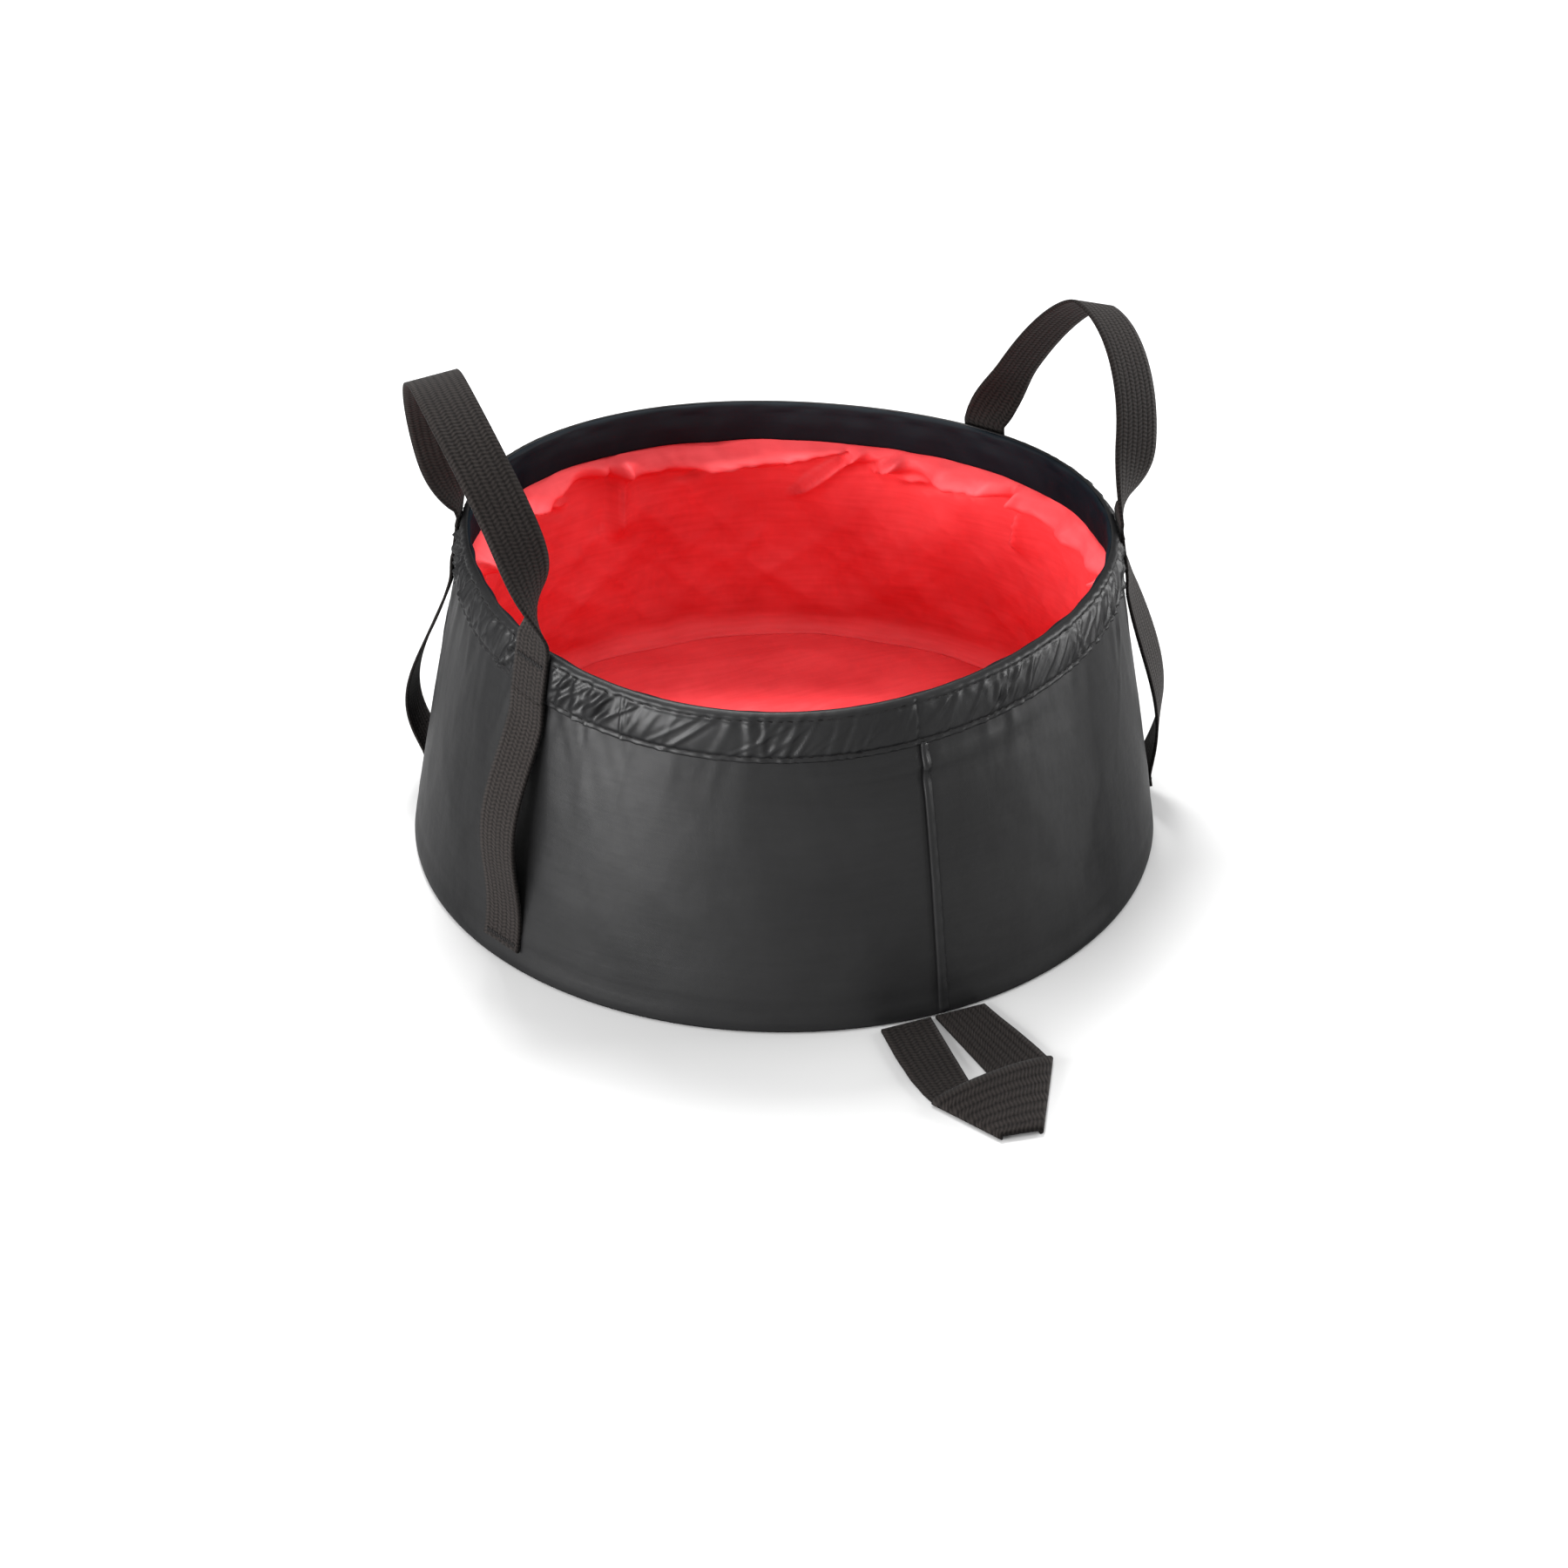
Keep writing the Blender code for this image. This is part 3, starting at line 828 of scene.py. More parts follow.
@dataclass
class OuterWall:
    """The grey coated wall, its folded-under foot and the felled seams at front and back."""

    cloth: bpy.types.Material
    columns: int = 720
    rows: int = 44
    thickness: float = 0.0005
    foot_roll: float = 0.0022
    top_depth: float = 0.004
    slack: float = 0.0010
    waves: tuple[Wave, ...] = (Wave(1.0, 3.0, 0.6), Wave(0.6, 5.0, 2.1), Wave(0.4, 8.0, -0.7))
    crush: float = 0.0012
    crumple: Crumple = field(default_factory=lambda: Crumple(seed=37, waves=7, finest=22, coarsest=6))
    gathers: Gathers = field(default_factory=lambda: Gathers(
        count=150, seed=11, width=(0.0016, 0.0045), depth=(0.0003, 0.0011), slant=0.25))
    gather_share: float = 0.7
    gather_end: tuple[float, float] = (0.004, 0.020)
    fold_angle: float = math.radians(-88.0)
    fold_span: float = math.radians(16.0)
    fold_drop: float = 0.0045
    fold_sag: float = 0.004
    fold_depth: float = 0.0012
    fold_width: float = 0.0022
    hollow_share: float = 0.6
    hollow_drop: float = 0.006
    hollow_width: float = 0.004
    ripple_angle: float = math.radians(-83.0)
    ripple_span: float = math.radians(5.0)
    ripple_height: float = 0.022
    ripple_reach: float = 0.014
    ripple_pitch: float = 0.0065
    ripple_depth: float = 0.00035
    foot_seam_height: float = 0.010
    foot_seam_width: float = 0.0008
    foot_seam_depth: float = 0.0003
    groove_width: float = 0.0010
    groove_depth: float = 0.0007
    seam_grid: tuple[int, int] = (6, 60)
    seam_width: float = 0.0042
    seam_thickness: float = 0.0003
    seam_start: float = 0.0004
    seam_foot: float = 0.0015
    seam_seat: float = 0.00015
    seam_proud: float = 0.00075
    seam_waves: tuple[Wave, ...] = (Wave(0.00012, 700.0), Wave(0.00010, 1630.0, 1.0))

    def profile(self) -> Profile:
        """Draws the wall's outline from its foot to under the hem.

        Returns:
            Its (offset, height) points.
        """
        roll = self.foot_roll
        foot = [(-roll * 1.6, 0.0004), (-roll * 0.7, 0.0003), (-roll * 0.25, roll * 0.4), (0.0, roll)]
        top = FORM.rim_height - self.top_depth
        return foot + [(0.0, roll + (top - roll) * (row / self.rows)) for row in range(1, self.rows + 1)]

    def local_relief(self, angle: np.ndarray, height: np.ndarray) -> np.ndarray:
        """Shapes the fold under the front of the hem, the ripples low at the front seam, and the seams' grooves.

        Args:
            angle: Angle of each vertex.
            height: Height of each vertex.

        Returns:
            Extra offset in metres.
        """
        place = angle_apart(angle, self.fold_angle) / self.fold_span
        above = height - (FORM.hem_foot - self.fold_drop - self.fold_sag * np.cos(np.clip(place, -1.5, 1.5)))
        hollow = self.hollow_share * bell(above + self.hollow_drop, self.hollow_width)
        total = self.fold_depth * (bell(above, self.fold_width) - hollow) * bell(place, 1.0)
        total -= self.foot_seam_depth * bell(height - self.foot_seam_height, self.foot_seam_width)
        place = angle_apart(angle, self.ripple_angle) / self.ripple_span
        ripple = np.sin(TAU * (height / self.ripple_pitch + 0.4 * place))
        ripple *= bell(height - self.ripple_height, self.ripple_reach)
        total += self.ripple_depth * ripple * bell(place, 1.0)
        for seam in SEAM_ANGLES.values():
            run = angle_apart(angle, seam) * FORM.base_radius
            total -= self.groove_depth * bell(run, self.groove_width) * between(0.0, 0.004, height)
        return total

    def relief(self, angle: np.ndarray, offset: np.ndarray, height: np.ndarray) -> np.ndarray:
        """Shapes the wall: slack, gathers below the hem, creases, folds and seams.

        Args:
            angle: Angle of each vertex.
            offset: Its offset in the profile.
            height: Height of each vertex.

        Returns:
            Extra offset in metres.
        """
        foot = FORM.hem_foot
        belly = np.sin(np.pi * np.clip(height / foot, 0.0, 1.0))
        total = self.slack * (0.6 + 0.35 * swell(self.waves, angle)) * belly
        share = between(*self.gather_end, height) * (1.0 - between(foot - 0.001, foot + 0.001, height))
        below = np.clip(foot - height, 0.0, None)
        total += self.gather_share * self.gathers.relief(angle, height, share, below)
        total += self.crush * self.crumple.relief(angle, height) * belly
        total += self.local_relief(angle, height)
        return np.where(height < self.foot_roll * 1.01, 0.0, total)

    def build(self) -> None:
        """Builds the wall and its seams."""
        bm = cloth_shell(self.profile(), self.columns, self.relief, Facing.OUT)
        wall = finish_piece("outer_wall", bm, self.cloth, Slot.WALL, self.thickness)
        fold_flat(wall)
        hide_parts("wall_left", "wall_right")
        for end, angle in SEAM_ANGLES.items():
            self.build_seam(f"{end}_seam", angle)

    def build_seam(self, name: str, middle: float) -> None:
        """Builds one felled seam: a narrow rounded fold beside the groove.

        Args:
            name: The CAD node that it replaces.
            middle: Angle of the seam.
        """
        bm = bmesh.new()
        columns, rows = self.seam_grid
        bmesh.ops.create_grid(bm, x_segments=columns, y_segments=rows, size=1.0)
        rise = FORM.hem_foot + 0.0005 - self.seam_foot
        lay_flat_map(bm, self.seam_width / 2.0, rise / 2.0)
        flat = np.array([vert.co[:] for vert in bm.verts])
        share, height = (flat[:, 0] + 1.0) / 2.0, self.seam_foot + rise * (flat[:, 1] + 1.0) / 2.0
        angle = middle + (self.seam_start + share * self.seam_width) / FORM.base_radius
        proud = self.seam_proud * np.sin(np.pi * np.minimum(share * 1.15 + 0.12, 1.0)) ** 0.5
        proud *= 0.3 + 0.7 * between(0.004, 0.016, height)
        under = self.relief(angle, np.zeros_like(angle), np.maximum(height, self.foot_roll + 0.0002))
        offset = under + self.seam_seat + proud + swell(self.seam_waves, height) * share
        for vert, place in zip(bm.verts, FORM.points(angle, offset, height)):
            vert.co = place
        turn_faces(bm, Facing.OUT)
        seam = finish_piece(f"{name}_fold", bm, self.cloth, Slot.WALL, self.seam_thickness)
        fold_flat(seam)
        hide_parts(name)


@dataclass
class RimHem:
    """The gathered casing round the rim, with two stitch rows, and the dark band that wraps its wire."""

    cloth: bpy.types.Material
    band: bpy.types.Material
    thread: bpy.types.Material
    columns: int = 1080
    leg_rows: int = 24
    thickness: float = 0.0005
    leg_offset: float = 0.0011
    edge_offset: float = 0.0006
    edge_drop: float = 0.0005
    wire_depth: float = 0.0018
    wire_offset: float = -0.0010
    wrap_radius: float = 0.0021
    wrap_angles: tuple[int, ...] = (104, 85, 65, 44, 22)
    gathers: Gathers = field(default_factory=lambda: Gathers(
        count=560, seed=11, width=(0.0007, 0.0022), depth=(0.0003, 0.0010), slant=0.5, lean=0.7))
    crumple: Crumple = field(default_factory=lambda: Crumple(seed=17, waves=9, finest=60, coarsest=14))
    fullness: float = 0.0004
    crush: float = 0.0012
    seat: float = 0.0001
    seam_depth: float = 0.0007
    seam_width: float = 0.0009
    foot_tuck: float = 0.0006
    relief_limits: tuple[float, float] = (-0.0008, 0.0030)
    upper_row: float = 0.0024
    lower_row: float = 0.0164
    row_depth: float = 0.0006
    row_width: float = 0.0007
    teeth_pitch: float = 0.0062
    teeth_depth: float = 0.00012
    teeth_from_row: float = 0.0014
    teeth_width: float = 0.0010
    stitch_length: float = 0.0026
    stitch_gap: float = 0.0010
    stitch_radius: float = 0.00022
    stitch_unevenness: float = 0.0001
    band_rows: int = 14
    band_thickness: float = 0.0005
    band_offset: float = -0.0034
    band_wrap_radius: float = 0.0019
    band_wrap_stretch: float = 1.15
    band_creases: Crumple = field(default_factory=lambda: Crumple(seed=41, waves=6, finest=26, coarsest=7))
    band_crease_depth: float = 0.0021
    band_dent: float = 0.0004
    band_waves: tuple[Wave, ...] = (Wave(1.0, 17.0, 0.0, 3.0), Wave(0.7, 29.0, 1.3, -2.0))
    band_edge_waves: tuple[Wave, ...] = (Wave(0.00025, 41.0), Wave(0.0002, 23.0, 2.0))

    def outer_profile(self) -> Profile:
        """Draws the casing, from under the band's edge down to the hem's foot.

        Returns:
            Its (offset, height) points.
        """
        top, foot = FORM.rim_height - self.wire_depth, FORM.hem_foot
        leg = [(self.leg_offset, top - (top - foot) * row / self.leg_rows) for row in range(self.leg_rows + 1)]
        wrap = [(self.wire_offset + self.wrap_radius * math.cos(turn), top + self.wrap_radius * math.sin(turn))
                for turn in map(math.radians, self.wrap_angles)]
        return wrap + leg + [(self.edge_offset, foot - self.edge_drop)]

    def leg_relief(self, angle: np.ndarray, offset: np.ndarray, height: np.ndarray) -> np.ndarray:
        """Shapes the casing: puckers between the stitch rows, and the rows drawn in.

        Args:
            angle: Angle of each vertex.
            offset: Its offset in the profile.
            height: Height of each vertex.

        Returns:
            Extra offset in metres.
        """
        depth = FORM.rim_height - height
        share = 0.35 + 0.65 * between(0.0010, 0.0045, depth)
        share = share * (1.0 - 0.65 * bell(depth - self.lower_row, 0.0010))
        casing = np.sin(np.pi * np.clip((depth - self.upper_row) / (self.lower_row - self.upper_row), 0.0, 1.0))
        crush = self.crumple.relief(angle, height) * (0.4 + 0.6 * casing)
        total = self.gathers.relief(angle, height, share) + self.fullness * casing + self.crush * crush
        teeth = np.sin(angle * round(TAU * FORM.rim_radius / self.teeth_pitch))
        for row in (self.upper_row, self.lower_row):
            beside = bell(np.abs(depth - row) - self.teeth_from_row, self.teeth_width)
            total += self.teeth_depth * teeth * beside - self.row_depth * bell(depth - row, self.row_width)
        for seam in SEAM_ANGLES.values():
            total -= self.seam_depth * bell(angle_apart(angle, seam) * FORM.rim_radius, self.seam_width)
        total = self.seat + total * clear_of_straps(angle)
        total -= self.foot_tuck * between(self.lower_row - 0.0016, FORM.hem_depth, depth)
        return np.clip(total, *self.relief_limits) * np.clip(offset / self.leg_offset, 0.0, 1.0)

    def build(self) -> None:
        """Builds the casing, the band inside it and the stitches."""
        bm = cloth_shell(self.outer_profile(), self.columns, self.leg_relief, Facing.OUT, down=True)
        hem = finish_piece("rim_casing", bm, self.cloth, Slot.RIM, self.thickness)
        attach(hem, Body.RIM.value)
        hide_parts("rim_hem")
        self.build_band()
        self.build_stitches("upper", depth=self.upper_row, seed=3)
        self.build_stitches("lower", depth=self.lower_row, seed=4)

    def band_profile(self) -> Profile:
        """Draws the band, from the casing's outer edge over the wire and down inside to its hem.

        Returns:
            Its (offset, height) points.
        """
        wire, foot = FORM.rim_height - self.wire_depth, FORM.hem_foot
        wrap = [(self.wire_offset + self.band_wrap_radius * math.cos(turn) * self.band_wrap_stretch,
                 wire + self.band_wrap_radius * math.sin(turn)) for turn in map(math.radians, range(100, 181, 10))]
        top = wire - 0.0008
        inside = [(self.band_offset, top - (top - foot) * row / self.band_rows) for row in range(self.band_rows + 1)]
        return wrap + inside + [(-0.0031, foot - 0.0006), (-0.0027, foot - 0.0003)]

    def band_relief(self, angle: np.ndarray, offset: np.ndarray, height: np.ndarray) -> np.ndarray:
        """Shapes the band: soft dents and creases inside, and an uneven edge on top.

        Args:
            angle: Angle of each vertex.
            offset: Its offset in the profile.
            height: Height of each vertex.

        Returns:
            Extra offset in metres.
        """
        depth = (FORM.rim_height - height) / FORM.hem_depth
        dents = -self.band_dent * (1.0 + 0.5 * swell(self.band_waves, angle, depth))
        dents -= self.band_crease_depth * self.band_creases.relief(angle, height)
        edge = swell(self.band_edge_waves, angle)
        return np.where(height < FORM.rim_height - 0.0030, dents * between(0.15, 0.6, depth), edge)

    def build_band(self) -> None:
        """Builds the smooth dark band with its rolled lower edge."""
        bm = cloth_shell(self.band_profile(), self.columns // 2, self.band_relief, Facing.IN, down=True)
        facing = finish_piece("rim_inner_band", bm, self.band, Slot.FACING, self.band_thickness)
        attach(facing, Body.RIM.value)
        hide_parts("rim_facing")

    def build_stitches(self, name: str, depth: float, seed: int) -> None:
        """Builds one row of lockstitch round the casing.

        Args:
            name: Which row.
            depth: Distance below the rim.
            seed: Seed of the small unevenness.
        """
        rng = np.random.default_rng(seed)
        count = int(TAU * FORM.rim_radius / (self.stitch_length + self.stitch_gap))
        half = self.stitch_length / 2.0 / FORM.rim_radius
        middle = TAU * np.arange(count) / count
        height = FORM.rim_height - depth + rng.normal(0.0, self.stitch_unevenness, count)
        ends = []
        for turn in (middle - half, middle + half):
            out = self.leg_relief(turn, np.full(count, self.leg_offset), height)
            ends.append(FORM.points(turn, self.leg_offset + out + self.stitch_radius * 0.5, height))
        bm = bmesh.new()
        for start, end in zip(*ends):
            add_stitch(bm, Vector(start), Vector(end), self.stitch_radius)
        row = finish_piece(f"rim_stitches_{name}", bm, self.thread, Slot.THREAD)
        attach(row, Body.RIM.value)


@dataclass(frozen=True)
class Fold:
    """One large fold of the lining: a ridge between two places on its wall, with a crease under it.

    Each place is an angle in degrees and a distance below the band.
    """

    start: tuple[float, float]
    end: tuple[float, float]
    width: float
    depth: float

    def relief(self, angle: np.ndarray, drop: np.ndarray) -> np.ndarray:
        """Shapes the fold: steep on one side, gentle on the other.

        Args:
            angle: Angle of each vertex.
            drop: Distance of each vertex below the band.

        Returns:
            The fold's inward height in metres.
        """
        run = angle_apart(angle, math.radians(self.start[0])) * FORM.rim_radius
        tip = math.radians(self.end[0] - self.start[0]) * FORM.rim_radius
        step = np.array([tip, self.end[1] - self.start[1]])
        length = float(np.hypot(*step))
        along = (run * step[0] + (drop - self.start[1]) * step[1]) / length**2
        aside = (run * step[1] - (drop - self.start[1]) * step[0]) / length
        ends = between(-0.12, 0.18, along) * (1.0 - between(0.82, 1.12, along))
        steep = np.exp(-np.clip(aside, 0.0, None) / (0.55 * self.width))
        gentle = np.exp(np.clip(aside, None, 0.0) / (1.8 * self.width))
        crease = np.exp(-np.abs(aside - 1.6 * self.width) / (0.45 * self.width))
        return self.depth * ends * (steep * gentle - 0.45 * crease)


@dataclass
class Lining:
    """The loose bright lining: a crushed wall that hangs from the band in a soft roll, and its floor."""

    cloth: bpy.types.Material
    columns: int = 620
    wall_rows: int = 74
    row_spread: float = 1.35
    thickness: float = 0.0004
    wall_offset: float = -0.0020
    top_tuck: float = 0.004
    slack: float = 0.0026
    slack_waves: tuple[Wave, ...] = (Wave(1.0, 7.0, 0.0, 4.0), Wave(0.7, 11.0, 1.0, -5.0), Wave(0.5, 19.0, 2.0, 9.0))
    crumple: Crumple = field(default_factory=lambda: Crumple(seed=23, waves=11, finest=46, coarsest=9))
    body_crush: float = 0.0085
    top_crush: float = 0.0092
    top_crush_drop: float = 0.007
    top_crush_reach: float = 0.011
    roll: float = 0.0088
    roll_drop: float = 0.0085
    roll_sway: float = 0.0016
    roll_reach_up: float = 0.0065
    roll_reach_down: float = 0.0030
    sway: tuple[Wave, ...] = (Wave(1.0, 5.0, 1.0), Wave(0.7, 9.0, 2.4), Wave(0.5, 16.0))
    inward_limits: tuple[float, float] = (-0.0006, 0.0180)
    edge: float = 0.0016
    edge_crush: float = 0.0012
    folds: tuple[Fold, ...] = (
        Fold((99.0, -0.004), (99.5, 0.042), 0.0034, 0.0091),
        Fold((88.0, 0.012), (53.0, 0.002), 0.0034, 0.0084),
        Fold((52.0, 0.002), (67.0, 0.031), 0.0026, 0.0081),
        Fold((44.0, 0.004), (51.0, 0.013), 0.0020, 0.0070),
        Fold((45.0, 0.015), (20.0, 0.006), 0.0036, 0.0077),
        Fold((15.0, -0.003), (20.0, 0.036), 0.0034, 0.0091),
        Fold((130.0, 0.002), (110.0, 0.018), 0.0034, 0.0077),
        Fold((150.0, 0.002), (140.0, 0.026), 0.0032, 0.0077),
        Fold((176.0, 0.000), (166.0, 0.030), 0.0030, 0.0077),
        Fold((204.0, 0.000), (190.0, 0.030), 0.0034, 0.0084),
        Fold((250.0, 0.010), (225.0, 0.036), 0.0040, 0.0077),
        Fold((312.0, 0.004), (285.0, 0.034), 0.0040, 0.0077),
        Fold((338.0, 0.002), (349.0, 0.028), 0.0030, 0.0077),
    )
    floor_grid: int = 120
    floor_gap: float = 0.0045
    floor_round: float = 0.6
    floor_height: float = 0.0020
    floor_crush: float = 0.0075
    floor_creases: int = 9
    floor_crease_turns: tuple[float, float] = (40.0, 150.0)
    floor_sharpness: float = 1.6
    floor_seed: int = 5

    def profile(self) -> Profile:
        """Draws the lining's wall, from its seam with the floor up under the band.

        Returns:
            Its (offset, height) points.
        """
        corner = [(-0.0080, 0.0024), (-0.0060, 0.0028), (-0.0038, 0.0048), (self.wall_offset, 0.0085)]
        low = corner[-1][1]
        rise = FORM.hem_foot + self.top_tuck - low
        shares = [1.0 - (1.0 - row / self.wall_rows) ** self.row_spread for row in range(1, self.wall_rows + 1)]
        return corner + [(self.wall_offset, low + rise * share) for share in shares]

    def relief(self, angle: np.ndarray, offset: np.ndarray, height: np.ndarray) -> np.ndarray:
        """Shapes the roll under the band, its folds, and slack creased waves below.

        Args:
            angle: Angle of each vertex.
            offset: Its offset in the profile.
            height: Height of each vertex.

        Returns:
            Extra offset in metres, inward below 0.
        """
        drop = FORM.hem_foot - height
        level = np.clip(height / FORM.hem_foot, 0.0, 1.0)
        crush = self.crumple.relief(angle, height)
        sway = swell(self.sway, angle)
        middle = self.roll_drop + self.roll_sway * sway
        reach = np.where(drop < middle, self.roll_reach_up, self.roll_reach_down)
        roll = self.roll * (0.75 + 0.22 * sway + 0.4 * crush) * bell(drop - middle, reach)
        folds = sum(fold.relief(angle, drop) for fold in self.folds)
        body = self.slack * (0.7 + 0.45 * swell(self.slack_waves, angle, level)) * np.sin(np.pi * level) ** 0.8
        body += self.body_crush * (crush - 0.3) * np.sin(np.pi * level) ** 0.5
        body += self.top_crush * (crush - 0.35) * bell(drop - self.top_crush_drop, self.top_crush_reach)
        share = between(-0.001, 0.0035, drop) * between(0.003, 0.016, height)
        edge = self.edge + self.edge_crush * (np.sin(13.0 * angle) * np.sin(4.0 * angle + 1.0) + crush)
        inward = np.clip(roll + folds + body, *self.inward_limits) * share
        return -inward - edge * (1.0 - between(0.004, 0.012, height))

    def build(self) -> None:
        """Builds the lining's wall and floor."""
        bm = cloth_shell(self.profile(), self.columns, self.relief, Facing.IN)
        wall = finish_piece("lining_wall_cloth", bm, self.cloth, Slot.LINING, self.thickness)
        fold_flat(wall)
        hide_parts("lining_wall")
        self.build_floor()

    def floor_relief(self, x: np.ndarray, y: np.ndarray) -> np.ndarray:
        """Draws the floor's crossed creases.

        Args:
            x: Place of each vertex.
            y: Place of each vertex.

        Returns:
            Share of the full depth, from 0 to 1.
        """
        crush = np.zeros(len(x))
        rng = np.random.default_rng(self.floor_seed)
        for _ in range(self.floor_creases):
            turn, scale, phase = rng.uniform(0.0, TAU), rng.uniform(*self.floor_crease_turns), rng.uniform(0.0, TAU)
            run = (x * math.cos(turn) + y * math.sin(turn)) * scale
            bend = 0.9 * np.sin((x * math.sin(turn) - y * math.cos(turn)) * scale * 0.4 + phase)
            crush += (1.0 - np.abs(np.sin(run / 2.0 + phase + bend))) ** self.floor_sharpness / self.floor_creases
        return crush

    def build_floor(self) -> None:
        """Builds the lining's floor, slightly crushed and flat towards its sewn edge."""
        bm = bmesh.new()
        bmesh.ops.create_grid(bm, x_segments=self.floor_grid, y_segments=self.floor_grid, size=FORM.base_radius)
        radius = FORM.base_radius - self.floor_gap
        for vert in bm.verts:
            flat = vert.co.xy / FORM.base_radius
            square = max(abs(flat.x), abs(flat.y))
            shrink = 0.0 if flat.length == 0.0 else square / flat.length
            vert.co.xy = flat * radius * (shrink + (1.0 - square) * (1.0 - shrink) * self.floor_round)
        lay_flat_map(bm)
        co = np.array([vert.co[:] for vert in bm.verts])
        crush = self.floor_relief(co[:, 0], co[:, 1])
        edge = between(radius * 0.80, radius * 0.97, np.hypot(co[:, 0], co[:, 1]))
        for vert, height in zip(bm.verts, self.floor_height + self.floor_crush * crush * (1.0 - edge)):
            vert.co.z = height
        turn_faces(bm, Facing.UP)
        floor = finish_piece("lining_floor_cloth", bm, self.cloth, Slot.LINING, self.thickness)
        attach(floor, Body.BASE.value)
        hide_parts("lining_floor")


@dataclass
class BasePanel:
    """The coated bottom panel, with its sewn edge."""

    cloth: bpy.types.Material
    radius: float = 0.1505
    thickness: float = 0.0009
    segments: int = 180
    insets: tuple[float, ...] = (0.06, 0.10, 0.16)
    edge_height: float = 0.0002
    edge_rise: float = 0.0004
    edge_share: float = 0.85

    def build(self) -> None:
        """Builds the panel."""
        bm = bmesh.new()
        bmesh.ops.create_circle(bm, cap_ends=True, segments=self.segments, radius=self.radius)
        for share in self.insets:
            inner = [face for face in bm.faces if face.calc_center_median().length < 0.001]
            bmesh.ops.inset_region(bm, faces=inner, thickness=self.radius * share, use_boundary=True)
        lay_flat_map(bm)
        for vert in bm.verts:
            inward = float(between(self.radius, self.radius * self.edge_share, vert.co.xy.length))
            vert.co.z = self.edge_height + self.edge_rise * inward
        turn_faces(bm, Facing.DOWN)
        panel = finish_piece("bottom_panel", bm, self.cloth, Slot.WALL, self.thickness)
        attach(panel, Body.BASE.value)
        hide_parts("base_panel")


@dataclass(frozen=True)
class Row:
    """One row across a webbing: its middle and the vector across it, from edge to edge."""

    centre: Vector
    across: Vector

    @classmethod
    def spanning(cls, start: Vector, end: Vector) -> "Row":
        """The row between two points on the webbing's edges."""
        return cls((start + end) / 2.0, end - start)


@dataclass
class Webbing:
    """Webbing laid along rows, with its thickness and ribbed finish, and the bars of thread that sew it down."""

    finish: bpy.types.Material
    thread: bpy.types.Material
    width: float = WEBBING_WIDTH
    thickness: float = WEBBING_THICKNESS
    columns: int = 10
    bar_stitches: int = 22
    bar_share: float = 0.8
    bar_rise: float = 0.0001
    bar_reach: float = 0.0011
    bar_lean: float = 0.0003
    bar_radius: float = 0.00028

    def row(self, centre: Vector, direction: Vector) -> Row:
        """A full-width row about a centre."""
        return Row(centre, direction.normalized() * self.width)

    def strip(self, name: str, rows: list[Row]) -> bpy.types.Object:
        """Builds one strip.

        Args:
            name: The piece's name.
            rows: Its rows from end to end.

        Returns:
            The strip.
        """
        bm = bmesh.new()
        last = len(rows) - 1
        bmesh.ops.create_grid(bm, x_segments=self.columns, y_segments=last, size=1.0)
        lengths = [[0.0], [0.0]]
        for before, after in zip(rows, rows[1:]):
            for edge, side in enumerate((-0.5, 0.5)):
                step = (after.centre + after.across * side - before.centre - before.across * side).length
                lengths[edge].append(lengths[edge][-1] + step)
        places = {vert: (round((vert.co.y + 1.0) / 2.0 * last), (vert.co.x + 1.0) / 2.0) for vert in bm.verts}
        layer = bm.loops.layers.uv.new("weave")
        for face in bm.faces:
            for loop in face.loops:
                row, share = places[loop.vert]
                loop[layer].uv = (share, lengths[0][row] * (1.0 - share) + lengths[1][row] * share)
        for vert, (row, share) in places.items():
            vert.co = rows[row].centre + rows[row].across * (share - 0.5)
        return finish_piece(name, bm, self.finish, Slot.WEBBING, self.thickness, 0.0)

    def sew_bar(self, name: str, row: Row, above: Row, angle: float) -> bpy.types.Object:
        """Sews a bar tack: close upright stitches side by side across the webbing.

        Args:
            name: The piece's name.
            row: The row of webbing that the bar lies on.
            above: The next row up.
            angle: Angle of the strap, which tells the webbing's outer side.

        Returns:
            The bar.
        """
        upward = (above.centre - row.centre).normalized()
        across = row.across.normalized()
        normal = across.cross(upward).normalized()
        if normal.dot(outward_at(angle)) < 0.0:
            normal.negate()
        bm = bmesh.new()
        for stitch in range(self.bar_stitches):
            side = (stitch / (self.bar_stitches - 1) - 0.5) * self.width * self.bar_share
            middle = row.centre + across * side + normal * (self.thickness / 2.0 + self.bar_rise)
            lean = across * self.bar_lean * (1.0 if stitch % 2 else -1.0)
            add_stitch(bm, middle - upward * self.bar_reach - lean, middle + upward * self.bar_reach + lean,
                       self.bar_radius)
        return finish_piece(name, bm, self.thread, Slot.THREAD)


